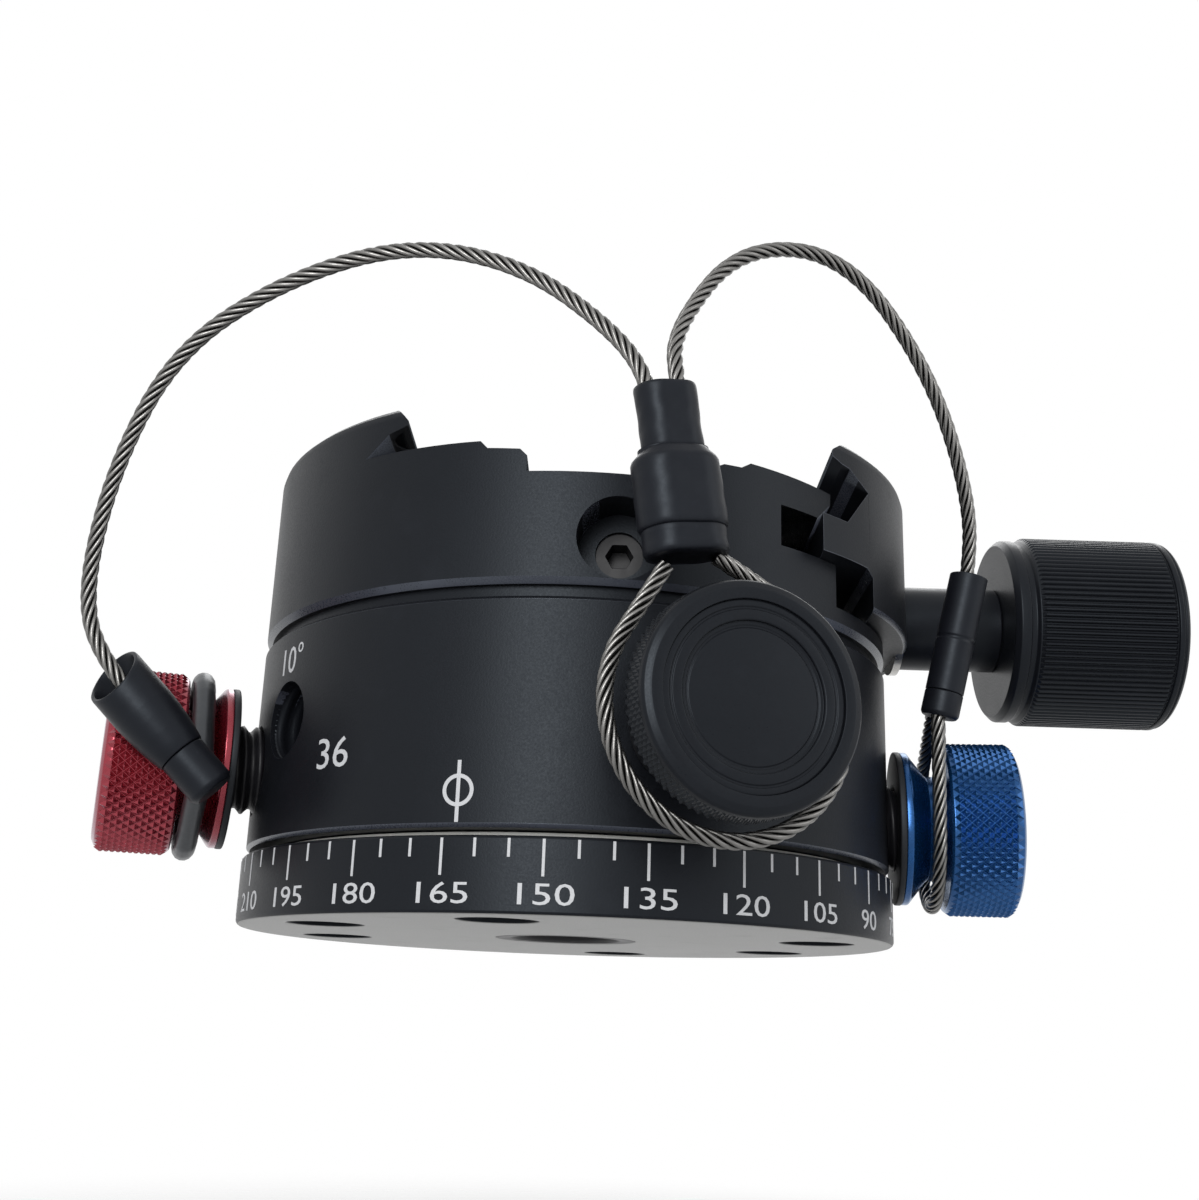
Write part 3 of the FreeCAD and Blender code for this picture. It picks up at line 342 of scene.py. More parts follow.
def anodised(name, colour, roughness, metallic=0.0, turned=0.0, grain=0.0016, specular=0.5, coat=0.0,
             underside=None):
    """Bead-blasted or turned aluminium with a dyed oxide skin, with a painted pale reflection underneath
    where it is named.
    """
    finish = Finish(name)
    cloud = finish.noise(9.0, 3.0)
    blast = finish.noise(0.16, 2.0)
    height = blast
    rough = roughness + (cloud - 0.5) * 0.10 + (blast - 0.5) * 0.24
    if turned:
        marks = finish.rings(0.09)
        height = blast * 0.4 + marks * turned
        rough = rough + (marks - 0.5) * 0.14
    handled = finish.ramp(finish.noise(4.0, 5.0), 0.56, 0.74, interpolation_type="SMOOTHSTEP")
    base = finish.tinted(cloud * 0.6 + blast * 0.4, colour, 0.72, 1.28)
    base = finish.mix(handled * 0.25, base, shaded(colour, 1.9))
    # Painted reflection: the faces at the very bottom take the pale underside colour in place of the dyed
    # black.
    if underside:
        spot = finish.make("ShaderNodeSeparateXYZ", values={"Vector": finish.place}, output=2)
        below = 1.0 - spot.above(PAINTED_REFLECTION_TOP * MM)
        base = finish.mix(below, base, finish.tinted(cloud, underside, 0.85, 1.1))
    # Reflections take the painted cool light tint.
    return finish.surface(base_color=base, metallic=metallic, roughness=rough + handled * 0.05,
                          specular_ior_level=specular, specular_tint=(*COOL_LIGHT_TINT, 1.0), coat_weight=coat,
                          coat_roughness=0.22, normal=finish.bump(height, grain))


def machined(name, colour, roughness, marks=0.5, metallic=1.0, grime=0.35, specular=0.5):
    """Bare or plated metal with fine tool marks and a little grime in patches."""
    finish = Finish(name)
    rings = finish.rings(0.07)
    patch = finish.noise(1.1, 4.0)
    fine = finish.noise(0.07, 2.0, stretch=(1.0, 1.0, 0.35))
    base = finish.tinted(patch, colour, 1.0 - grime, 1.12)
    rough = roughness + (patch - 0.5) * 0.2 + (rings - 0.5) * 0.12
    return finish.surface(base_color=base, metallic=metallic, roughness=rough, specular_ior_level=specular,
                          normal=finish.bump(fine * 0.5 + rings * marks, 0.004))


def polymer(name, colour, roughness, grain=0.22, depth=0.004, specular=0.5):
    """Moulded or shrunk plastic: a soft skin with fine grain and slow waves."""
    finish = Finish(name)
    skin = finish.noise(grain, 3.0)
    wave = finish.noise(2.4, 2.0)
    dust = finish.ramp(finish.noise(0.35, 4.0), 0.62, 0.8)
    base = finish.tinted(wave, colour, 0.8, 1.25)
    base = finish.mix(dust * 0.18, base, shaded(colour, 4.0))
    under = finish.bump(wave, 0.05, 0.5)
    # Reflections take the painted cool light tint.
    return finish.surface(base_color=base, roughness=roughness + (skin - 0.5) * 0.14 + (wave - 0.5) * 0.1,
                          specular_ior_level=specular, specular_tint=(*COOL_LIGHT_TINT, 1.0),
                          normal=finish.bump(skin, depth, under=under))


def stranded(name, colour, roughness, metallic):
    """Wire rope: bright wires, with painted shade in the grooves between them."""
    finish = Finish(name)
    wires = finish.noise(0.11, 3.0)
    oil = finish.noise(0.8, 3.0)
    depth = finish.make("ShaderNodeAttribute", {"attribute_name": "crest"}, output=2)
    # Painted shade: where a wire lies low between the strands its colour drops to a small share, as in a
    # shaded groove.
    crest = finish.ramp(depth, 0.70, 0.98)
    base = finish.mix(crest, shaded(colour, 0.12), finish.tinted(oil, colour, 0.75, 1.15))
    return finish.surface(base_color=base, metallic=metallic, roughness=roughness + (wires - 0.5) * 0.25,
                          normal=finish.bump(wires, 0.02, 0.6))


def printed(name, colour):
    """Laser-marked pale figures with a slightly uneven fill."""
    finish = Finish(name)
    patch = finish.noise(0.16, 3.0)
    base = finish.tinted(patch, colour, 0.82, 1.08)
    return finish.surface(base_color=base, roughness=0.55 + (patch - 0.5) * 0.2,
                          normal=finish.bump(patch, 0.002))


# ---- meshes


def rounded(corners, ease=0.12, closed=False, steps=3):
    """Profile corners, each with a small round; the ends of an open profile stay sharp."""
    count = len(corners)
    result = []
    for index, corner in enumerate(corners):
        here = Vector(corner)
        if not closed and index in (0, count - 1):
            result.append(tuple(here))
            continue
        back = Vector(corners[index - 1]) - here
        ahead = Vector(corners[(index + 1) % count]) - here
        start = here + back.normalized() * min(ease, 0.4 * back.length)
        end = here + ahead.normalized() * min(ease, 0.4 * ahead.length)
        for step in range(steps + 1):
            t = step / steps
            point = start * (1 - t) ** 2 + here * 2 * t * (1 - t) + end * t ** 2
            result.append(tuple(point))
    return result


def skin(rings, place, steps=160, closed=False):
    """A skin through rings about the placement's local Z. A ring is (radius, height) or a function of
    the angle that gives both; radius 0 is a pole. The attribute turning runs along the profile."""
    bm = bmesh.new()
    turning = bm.verts.layers.float.new("turning")
    loops = []
    for ring in rings:
        count = 1 if not callable(ring) and ring[0] < 1e-6 else steps
        loop = []
        for step in range(count):
            angle = 2 * math.pi * step / steps
            radius, height = ring(angle) if callable(ring) else ring
            point = Vector((radius * math.cos(angle), radius * math.sin(angle), height))
            vert = bm.verts.new(place @ point)
            vert[turning] = radius + height
            loop.append(vert)
        loops.append(loop)
    pairs = list(zip(loops, loops[1:])) + ([(loops[-1], loops[0])] if closed else [])
    for low, high in pairs:
        for step in range(steps):
            ahead = step + 1
            corners = [low[step % len(low)], low[ahead % len(low)], high[ahead % len(high)],
                       high[step % len(high)]]
            corners = list(dict.fromkeys(corners))
            if len(corners) > 2:
                bm.faces.new(corners)
    return bm


def finished_mesh(bm, name):
    """Turn a bmesh into a smooth-shaded mesh."""
    mesh = bpy.data.meshes.new(name)
    bm.to_mesh(mesh)
    bm.free()
    mesh.shade_smooth()
    return mesh


def mesh_from(bm, name, outward=True):
    """A smooth-shaded mesh in metres from a bmesh in millimetres."""
    if outward:
        bmesh.ops.recalc_face_normals(bm, faces=bm.faces)
    bmesh.ops.scale(bm, vec=(MM, MM, MM), verts=bm.verts)
    return finished_mesh(bm, name)


def merged_node(node):
    """A bmesh of a CAD node, in metres, with its doubled vertices merged."""
    bm = bmesh.new()
    bm.from_mesh(frame["nodes"][node].data)
    bmesh.ops.remove_doubles(bm, verts=bm.verts, dist=MERGE_DISTANCE)
    return bm


def plain_object(name, data):
    """An object at the origin in the scene, its name without spaces."""
    obj = bpy.data.objects.new(name.replace(" ", "_"), data)
    bpy.context.scene.collection.objects.link(obj)
    return obj


def modelled(name, bm, outward=True):
    """An object from a bmesh in millimetres."""
    return plain_object(name, mesh_from(bm, name, outward))


def settled(obj):
    """Make an object's modifiers part of its mesh."""
    bpy.context.view_layer.update()
    graph = bpy.context.evaluated_depsgraph_get()
    mesh = bpy.data.meshes.new_from_object(obj.evaluated_get(graph), preserve_all_data_layers=True,
                                           depsgraph=graph)
    mesh.name = obj.name
    if obj.type != "MESH":
        name = obj.name
        bpy.data.objects.remove(obj)
        return plain_object(name, mesh)
    obj.modifiers.clear()
    obj.data = mesh
    return obj


def piece(obj, finish, body, *nodes):
    """Finish a piece: its material, the body it rides on and the nodes it stands for."""
    obj.data.materials.clear()
    obj.data.materials.append(finishes()[finish])
    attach(obj, body)
    if nodes:
        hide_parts(*nodes)
    return obj


def weighted(obj):
    """Even out the shading so that flats stay flat beside their small rounds."""
    modifier = obj.modifiers.new("Even shading", "WEIGHTED_NORMAL")
    modifier.weight = SHADING_WEIGHT
    return settled(obj)


def turned(name, rings, place, finish, body, *nodes, steps=160, closed=False):
    """A turned piece from its profile."""
    return piece(weighted(modelled(name, skin(rings, place, steps, closed))), finish, body, *nodes)


def thread(radius, depth, pitch, start, end, fade=0.6, per_pitch=6):
    """Rings of a screw thread between two heights; a negative depth cuts it into a bore."""
    count = max(4, int(abs(end - start) / pitch * per_pitch))
    rings = []
    for index in range(count + 1):
        height = start + (end - start) * index / count
        edge = min(abs(height - start), abs(end - height)) / fade
        reach = min(1.0, edge)

        def ring(angle, height=height, reach=reach):
            phase = (height / pitch - angle / (2 * math.pi)) % 1.0
            wave = min(1.0, 1.25 * abs(2 * phase - 1))
            return radius - depth * (1 - reach * (1 - wave)), height
        rings.append(ring)
    return rings


def stadium(wide, deep, height, ripple=0.0):
    """Ring of an oval sleeve's section: two half circles and two flats, with a slight ripple."""
    half = (wide - deep) / 2
    radius = deep / 2

    def ring(angle):
        c, s = abs(math.cos(angle)), abs(math.sin(angle))
        flat = radius / s if s > 1e-6 else 1e9
        reach = flat if flat * c <= half else half * c + math.sqrt(max(0.0, radius ** 2 - (half * s) ** 2))
        wave = math.sin(3 * angle + 2.1 * height) + 0.6 * math.sin(7 * angle - 3.4 * height)
        return reach + ripple * wave, height
    return ring


def round_shading(obj, radius, centre):
    """Shade the faces on an upright cylinder as truly round, whatever their facets."""
    mesh = obj.data
    normals = [Vector(corner.vector) for corner in mesh.corner_normals]
    middle = Vector((centre * MM, 0.0, 0.0))
    for face in mesh.polygons:
        spokes = [mesh.vertices[index].co - middle for index in face.vertices]
        if all(abs(spoke.xy.length - radius * MM) < RIM_TOLERANCE * MM for spoke in spokes):
            for corner, spoke in zip(face.loop_indices, spokes):
                normals[corner] = Vector((spoke.x, spoke.y, 0.0)).normalized()
    mesh.normals_split_custom_set(normals)
    return obj


def eased_copy(node, name, finish, body, width=0.1, limit=None, edge=None, rim=None):
    """A copy of a CAD node with merged facets and a small round on each sharp edge, in its own finish.
    A rim is the radius and middle X of its outer cylinder."""
    bm = merged_node(node)
    if limit:
        for vert in bm.verts:
            out = math.hypot(vert.co.x, vert.co.y)
            if out > limit * MM:
                vert.co.x *= limit * MM / out
                vert.co.y *= limit * MM / out
    bmesh.ops.dissolve_limit(bm, angle_limit=math.radians(0.4), verts=bm.verts, edges=bm.edges)
    obj = plain_object(name, finished_mesh(bm, name))
    bevel = obj.modifiers.new("Small rounds", "BEVEL")
    bevel.width = width * MM
    bevel.segments = 2
    bevel.limit_method = "ANGLE"
    bevel.angle_limit = math.radians(28)
    bevel.use_clamp_overlap = True
    bevel.miter_outer = "MITER_ARC"
    # Painted highlight: the rounds and the faces that slope down and out take the lighter edge finish.
    if edge:
        for look in (finish, edge):
            obj.data.materials.append(finishes()[look])
        bevel.material = 1
        for face in obj.data.polygons:
            face.material_index = int(HIGHLIGHT_SLOPES[0] < face.normal.z < HIGHLIGHT_SLOPES[1])
    obj = weighted(obj)
    if rim:
        round_shading(obj, *rim)
    # Faces that keep the painted edge highlight.
    highlight_faces = [face.material_index for face in obj.data.polygons]
    obj = piece(obj, finish, body, node)
    if edge:
        obj.data.materials.append(finishes()[edge])
        obj.data.polygons.foreach_set("material_index", highlight_faces)
    return obj


# ---- geometry nodes


def new_group(name, inputs):
    """A Geometry Nodes group with a geometry in and out and named inputs; gives the group and its wires."""
    group = bpy.data.node_groups.new(name, "GeometryNodeTree")
    group.interface.new_socket("Geometry", in_out="INPUT", socket_type="NodeSocketGeometry")
    for label, kind in inputs:
        group.interface.new_socket(label, in_out="INPUT", socket_type="NodeSocket" + kind)
    group.interface.new_socket("Geometry", in_out="OUTPUT", socket_type="NodeSocketGeometry")
    source = group.nodes.new("NodeGroupInput")
    wires = {socket.name: Wire(group, socket) for socket in source.outputs if socket.name}
    return group, wires


def close_group(group, geometry, material):
    """End a group in Realize Instances, Set Material and its output."""
    real = make(group, "GeometryNodeRealizeInstances", values={"Geometry": geometry})
    dressed = make(group, "GeometryNodeSetMaterial", values={"Geometry": real, "Material": material})
    group.links.new(dressed.socket, group.nodes.new("NodeGroupOutput").inputs[0])
    return group


def ring_array_group():
    """Copies of a small shape round the local Z axis, in staggered rows along it."""
    group, wires = new_group("Ring array", (("Count", "Int"), ("Rows", "Int"), ("Row step", "Float"),
                                            ("Stagger", "Float"), ("Start", "Float"),
                                            ("Material", "Material")))
    index = make(group, "GeometryNodeInputIndex")
    row = (index / wires["Count"]).floor()
    column = index - row * wires["Count"]
    angle = wires["Start"] + (column + wires["Stagger"] * (row % 2.0)) * (2 * math.pi) / wires["Count"]
    spot = make(group, "ShaderNodeCombineXYZ", values={"Z": row * wires["Row step"]})
    points = make(group, "GeometryNodePoints", values={"Count": wires["Count"] * wires["Rows"],
                                                       "Position": spot})
    turn = make(group, "ShaderNodeCombineXYZ", values={"Z": angle})
    copies = make(group, "GeometryNodeInstanceOnPoints",
                  values={"Points": points, "Instance": wires["Geometry"], "Rotation": turn})
    return close_group(group, copies, wires["Material"])


def rope_group():
    """Strands laid round a core along a curve. The attribute crest is 1 on the rope's outside."""
    group, wires = new_group("Laid rope", (("Strands", "Int"), ("Lay radius", "Float"),
                                           ("Strand radius", "Float"), ("Lay length", "Float"),
                                           ("Step", "Float"), ("Material", "Material")))
    fine = make(group, "GeometryNodeResampleCurve", {"mode": "LENGTH"},
                {"Curve": wires["Geometry"], "Length": wires["Step"]})
    travelled = make(group, "GeometryNodeSplineParameter", output=1)
    tilt = travelled / wires["Lay length"] * (2 * math.pi)
    twisted = make(group, "GeometryNodeSetCurveTilt", values={"Curve": fine, "Tilt": tilt})
    circles = ((wires["Strands"], wires["Lay radius"]), (STRAND_SIDES, wires["Strand radius"]),
               (STRAND_SIDES, wires["Strand radius"] * CORE_SHARE))
    spread, strand, core = [make(group, "GeometryNodeCurvePrimitiveCircle", {"mode": "RADIUS"},
                                 {"Resolution": count, "Radius": radius}) for count, radius in circles]
    bundle = make(group, "GeometryNodeInstanceOnPoints", values={"Points": spread, "Instance": strand})
    bundle = make(group, "GeometryNodeRealizeInstances", values={"Geometry": bundle})
    profile = group.nodes.new("GeometryNodeJoinGeometry")
    for part in (core, bundle):
        group.links.new(part.socket, profile.inputs[0])
    place = make(group, "GeometryNodeInputPosition")
    reach = make(group, "ShaderNodeVectorMath", {"operation": "LENGTH"}, {"Vector": place}, output=1)
    crest = reach / (wires["Lay radius"] + wires["Strand radius"])
    marked = make(group, "GeometryNodeStoreNamedAttribute", {"data_type": "FLOAT", "domain": "POINT"},
                  {"Geometry": Wire(group, profile.outputs[0]), "Name": "crest", "Value": crest})
    swept = make(group, "GeometryNodeCurveToMesh",
                 values={"Curve": twisted, "Profile Curve": marked, "Fill Caps": True})
    return close_group(group, swept, wires["Material"])


def with_nodes(obj, group, values):
    """Run a Geometry Nodes group on an object with its inputs set by identifier, and keep the result."""
    modifier = obj.modifiers.new(group.name, "NODES")
    modifier.node_group = group
    for item in group.interface.items_tree:
        if item.item_type == "SOCKET" and item.in_out == "INPUT" and item.name in values:
            modifier[item.identifier] = values[item.name]
    return settled(obj)


def group_named(name, builder):
    """A node group, built the first time it is asked for."""
    return bpy.data.node_groups.get(name) or builder()


def arrayed(name, bm, count, place, finish, rows=1, row_step=0.0, stagger=0.0, start=0.0):
    """A small shape copied round the placement's local Z by the ring array."""
    group = group_named("Ring array", ring_array_group)
    values = {"Count": count, "Rows": rows, "Row step": row_step * MM, "Stagger": stagger, "Start": start,
              "Material": finishes()[finish]}
    obj = with_nodes(modelled(name, bm), group, values)
    in_metres = Matrix.Scale(MM, 4) @ place @ Matrix.Scale(1 / MM, 4)
    obj.data.transform(in_metres)
    return obj


def flat_shaded(obj):
    """Facets with crisp edges."""
    obj.data.shade_flat()
    return obj


def knurl(name, bm, count, place, finish, body, **rows):
    """A knurl: one point or ridge copied round its knob, in a finish of its own."""
    return piece(flat_shaded(arrayed(name, bm, count, place, finish, **rows)), finish, body)


# ---- finishes


def finishes():
    """Every finish by name, made once."""
    looks = bpy.context.scene.head_finish
    black, red, blue = tuple(looks.black), tuple(looks.red), tuple(looks.blue)
    steel, marking = tuple(looks.steel), tuple(looks.marking)
    satin, shine = looks.black_roughness, looks.black_shine
    # Painted highlight: the black made seven times lighter, for the small rounds of sharp edges and for faces
    # that slope down and out.
    edge = shaded(black, 7.0)
    makers = {
        "black_blasted": lambda n: anodised(n, black, satin, grain=0.010, specular=shine),
        # The base plate's finish, with the painted pale reflection on its underside.
        "black_base": lambda n: anodised(n, black, satin - 0.02, grain=0.008, specular=shine,
                                         underside=UNDERSIDE_PAINTED_REFLECTION),
        "black_turned": lambda n: anodised(n, black, satin - 0.06, turned=0.55, grain=0.003, specular=shine),
        "black_knurled": lambda n: anodised(n, black, satin - 0.08, grain=0.002, specular=shine * 1.3),
        # The finish with the painted edge highlight.
        "black_edge": lambda n: anodised(n, edge, satin - 0.12, grain=0.002, specular=shine * 3.0),
        "red_anodised": lambda n: anodised(n, red, 0.27, metallic=0.8, turned=0.4, grain=0.002, coat=0.8),
        "blue_anodised": lambda n: anodised(n, blue, 0.25, metallic=0.8, turned=0.4, grain=0.002, coat=0.35),
        "red_knurled": lambda n: anodised(n, red, 0.24, metallic=0.8, grain=0.001, coat=0.8),
        "blue_knurled": lambda n: anodised(n, blue, 0.22, metallic=0.8, grain=0.001, coat=0.35),
        "steel": lambda n: machined(n, steel, 0.3),
        "black_steel": lambda n: machined(n, BLACK_OXIDE, 0.42, metallic=0.0, specular=0.25),
        "brass": lambda n: machined(n, BRASS, 0.34),
        "pale_plastic": lambda n: polymer(n, PALE_PLASTIC, 0.5),
        "black_plastic": lambda n: polymer(n, BLACK_PLASTIC, 0.5, specular=0.3),
        "shrink_sleeve": lambda n: polymer(n, SHRINK_SLEEVE, 0.42, grain=0.3, depth=0.006, specular=0.2),
        "wire_rope": lambda n: stranded(n, shaded(steel, 0.40), 0.34, 1.0),
        "black_rope": lambda n: polymer(n, ROPE_COAT, 0.36, grain=0.4, depth=0.008),
        "marking": lambda n: printed(n, marking),
    }
    return {name: bpy.data.materials.get(FINISH_PREFIX + name) or maker(FINISH_PREFIX + name)
            for name, maker in makers.items()}


def slot_finish(slot):
    """The finish of a slot: the blasted one for the black parts, else the one named like the slot."""
    return "black_blasted" if slot == "black_anodised" else slot


# ---- small shapes


def side_faces(bm, low, high):
    """Join two loops of corners by a band of faces."""
    for index in range(len(low)):
        ahead = (index + 1) % len(low)
        bm.faces.new((low[index], low[ahead], high[ahead], high[index]))


def tick_block(inner, outer, width, low, high):
    """A thin block on the side of a cylinder, centred on local X."""
    bm = bmesh.new()
    ends = []
    for share in (-0.5, 0.5):
        angle = share * width / outer
        column = [(inner, low), (outer, low), (outer, high), (inner, high)]
        ends.append([bm.verts.new((r * math.cos(angle), r * math.sin(angle), z)) for r, z in column])
    side_faces(bm, *ends)
    for end in ends:
        bm.faces.new(end)
    return bm


def diamond_point(radius, depth, long_way, round_way, height, sink=0.06, top=0.16):
    """One blunt pyramid of a diamond knurl, on local X at a height."""
    bm = bmesh.new()
    corners = ((0, -long_way / 2), (round_way / 2, 0), (0, long_way / 2), (-round_way / 2, 0))
    loops = []
    for out, spread in ((radius - depth - sink, 1 + sink / depth * 0.5), (radius, top)):
        loops.append([bm.verts.new((out, y * spread, height + z * spread)) for y, z in corners])
    side_faces(bm, *loops)
    for loop in loops:
        bm.faces.new(loop)
    return bm


def knurl_ridge(radius, depth, width, low, high, slope=0.35):
    """One ridge of a straight knurl, on local X, with sloped ends."""
    bm = bmesh.new()
    foot = radius - depth - 0.05
    crest = width * 0.14
    end = ((foot, -width / 2), (foot, width / 2))
    full = (end[0], (radius, -crest), (radius, crest), end[1])
    rows = ((end, low), (full, low + slope), (full, high - slope), (end, high))
    a, b, c, d = [[bm.verts.new((x, y, z)) for x, y in row] for row, z in rows]
    for index in range(3):
        bm.faces.new((b[index], b[index + 1], c[index + 1], c[index]))
    for corners in ((a[0], a[1], b[3], b[0]), (b[0], c[0], c[3], b[3]), (c[0], d[0], d[1], c[3]),
                    (a[0], a[1], b[2], b[1]), (a[0], b[1], b[0]), (a[1], b[3], b[2]),
                    (d[0], d[1], c[2], c[1]), (d[0], c[1], c[0]), (d[1], c[3], c[2])):
        bm.faces.new(corners)
    return bm


def taken_mesh(obj):
    """The mesh that an object gives; the object itself is removed."""
    bpy.context.view_layer.update()
    mesh = bpy.data.meshes.new_from_object(obj.evaluated_get(bpy.context.evaluated_depsgraph_get()))
    bpy.data.objects.remove(obj)
    return mesh


def figures(bm, text, cap_height, angle, low, inner, outer, stretch=1.0):
    """Add thin figures bent round the head's axis, centred on an angle."""
    curve = bpy.data.curves.new("figures", "FONT")
    curve.body = text
    curve.size = 1.0
    curve.align_x = "CENTER"
    curve.extrude = 0.5
    curve.resolution_u = 3
    mesh = taken_mesh(plain_object("figures", curve))
    scale = cap_height / CAP_SHARE
    for vert in mesh.vertices:
        turn = math.radians(angle) + vert.co.x * scale * stretch / outer
        out = inner + (outer - inner) * (vert.co.z + 0.5)
        vert.co = (out * math.cos(turn), out * math.sin(turn), low + vert.co.y * scale)
    bm.from_mesh(mesh)
    bpy.data.meshes.remove(mesh)


def mark_object(name, bm, body):
    """Printed marks as one thin closed mesh."""
    bmesh.ops.remove_doubles(bm, verts=bm.verts, dist=MARK_MERGE_DISTANCE)
    return piece(flat_shaded(modelled(name, bm)), "marking", body)


def joined(name, objects):
    """Several loose objects as one mesh object."""
    bm = bmesh.new()
    for obj in objects:
        bm.from_mesh(obj.data)
        bpy.data.objects.remove(obj)
    return plain_object(name, finished_mesh(bm, name))


# ---- ropes


def curve_through(name, line, kind="POLY"):
    """A curve whose one spline goes by points in metres; gives both."""
    curve = bpy.data.curves.new(name, "CURVE")
    curve.dimensions = "3D"
    spline = curve.splines.new(kind)
    spline.points.add(len(line) - 1)
    for spot, point in zip(spline.points, line):
        spot.co = (*point, 1.0)
    return curve, spline


def route_line(name, points):
    """The smooth centreline through a route's control points, as points in metres."""
    curve, spline = curve_through(name, [[value * MM for value in point] for point in points], "NURBS")
    spline.resolution_u = 24
    spline.order_u = 3
    spline.use_endpoint_u = True
    mesh = taken_mesh(plain_object(name, curve))
    line = [vert.co.copy() for vert in mesh.vertices]
    bpy.data.meshes.remove(mesh)
    return line


def laid_rope(name, line):
    """Rope strands along a line of points in metres."""
    curve, _ = curve_through(name, line)
    lay = bpy.context.scene.head_shape.rope_lay / MM
    radius = ROPE_DIAMETER / 2 * MM
    strand = radius / (1 + 1 / math.sin(math.pi / STRANDS))
    values = {"Strands": STRANDS, "Lay radius": radius - strand, "Strand radius": strand,
              "Lay length": lay * MM, "Step": ROPE_STEP * MM, "Material": finishes()["wire_rope"]}
    obj = with_nodes(plain_object(name, curve), group_named("Laid rope", rope_group), values)
    obj.data.shade_smooth()
    return obj


def coated_rope(name, line):
    """A rope in a smooth plastic coat, slightly uneven where the wires press through."""
    curve, spline = curve_through(name, line)
    curve.bevel_depth = BLACK_ROPE_DIAMETER / 2 * MM
    curve.bevel_resolution = 5
    curve.use_fill_caps = True
    for index, spot in enumerate(spline.points):
        spot.radius = 0.985 + 0.015 * math.sin(index * 1.7)
    obj = settled(plain_object(name, curve))
    obj.data.shade_smooth()
    return obj


def tangent_point(entry, radius, side):
    """Where a line from a point outside touches a circle about the origin, on one side."""
    angle = math.atan2(entry[1], entry[0]) + side * math.acos(radius / math.hypot(*entry))
    return radius * math.cos(angle), radius * math.sin(angle), angle


def loop_line(angle, out, height, radius, left_entry, right_entry):
    """The centreline of a rope loop in a plane square to a radial axis, in metres."""
    left = tangent_point(left_entry, radius, 1)
    right = tangent_point(right_entry, radius, -1)
    sweep = right[2] + 2 * math.pi - left[2]
    flat = [left_entry]
    steps = int(sweep * radius / LOOP_STEP)
    for step in range(steps + 1):
        turn = left[2] + sweep * step / steps
        flat.append((radius * math.cos(turn), radius * math.sin(turn)))
    flat.append(right_entry)
    return [out_from(angle, out, side, height + up) * MM for side, up in flat]


# ---- settings


def colour_setting(name, description, default):
    """A colour that a user can pick."""
    return FloatVectorProperty(name=name, description=description, subtype="COLOR", size=3, min=0.0, max=1.0,
                               default=default)


def share_setting(name, description, least, default):
    """A share of up to one."""
    return FloatProperty(name=name, description=description, subtype="FACTOR", min=least, max=1.0,
                         default=default)


def length_setting(name, description, least, most, default):
    """A length, given in metres."""
    return FloatProperty(name=name, description=description, subtype="DISTANCE", unit="LENGTH", min=least,
                         max=most, default=default)


class FinishSettings(bpy.types.PropertyGroup):
    """Colours and gloss of the finishes."""

    # Dark dyed black, with a blue cast that is painted cool light.
    black: colour_setting("Black", "Dyed oxide on the body and its knobs", (0.0058, 0.0064, 0.0084))
    black_roughness: share_setting("Black roughness", "How matt the blasted body is", 0.1, 0.41)
    black_shine: share_setting("Black shine", "How much light the oxide mirrors", 0.0, 0.17)
    red: colour_setting("Red", "Dyed oxide on the first index plunger", (0.25, 0.012, 0.026))
    blue: colour_setting("Blue", "Dyed oxide on the second index plunger", (0.006, 0.062, 0.20))
    steel: colour_setting("Steel", "Bare steel and the wires of the ropes", (0.56, 0.55, 0.53))
    marking: colour_setting("Marking", "Figures and graduations", (0.50, 0.51, 0.53))


class ShapeSettings(bpy.types.PropertyGroup):
    """Sizes of the repeated details."""

    figure_height: length_setting("Figure height", "Height of the degree figures", 0.0005, 0.004, 0.00155)
    tick_width: length_setting("Tick width", "Width of a graduation", 0.00005, 0.001, 0.00022)
    ridge_count: IntProperty(name="Clamp knob ridges",
                             description="Ridges round the clamp knob's straight knurl", min=40, max=200,
                             default=106)
    grip_count: IntProperty(name="Plunger knurl", description="Diamonds round a plunger knob",
                            min=20, max=120, default=56)
    rope_lay: length_setting("Rope lay", "Length in which a strand goes once round its rope", 0.002, 0.03,
                             0.0068)


class StudioSettings(bpy.types.PropertyGroup):
    """Floor and light."""

    floor: FloatProperty(name="Floor", description="Height of the floor below the head",
                         subtype="DISTANCE", unit="LENGTH", max=0.0, default=-0.034)
    ambient: FloatProperty(name="Ambient", description="Strength of the even light all round",
                           min=0.0, max=2.0, default=0.55)
    key: FloatProperty(name="Key lamp", description="Power of the large front lamp",
                       subtype="POWER", unit="POWER", min=0.0, max=50.0, default=1.6)


# ---- marks


def bar(bm, angle, low, high, width, inner, outer):
    """Add one upright printed line on a cylinder."""
    spots = []
    for out in (inner, outer):
        for side, height in ((-width / 2, low), (width / 2, low), (width / 2, high), (-width / 2, high)):
            spots.append(bm.verts.new(out_from(angle + math.degrees(side / outer), out, 0, height)))
    back, front = spots[:4], spots[4:]
    bm.faces.new(back)
    bm.faces.new(front)
    side_faces(bm, back, front)


def circle_mark(bm, angle, height, radius, width, inner, outer, steps=36):
    """Add a printed ring on a cylinder."""
    loops = []
    for step in range(steps):
        turn = 2 * math.pi * step / steps
        loop = []
        for reach, out in ((radius - width / 2, inner), (radius + width / 2, inner),
                           (radius + width / 2, outer), (radius - width / 2, outer)):
            side = math.degrees(reach * math.cos(turn) / outer)
            loop.append(bm.verts.new(out_from(angle + side, out, 0, height + reach * math.sin(turn))))
        loops.append(loop)
    for here, there in zip(loops, loops[1:] + loops[:1]):
        side_faces(bm, here, there)


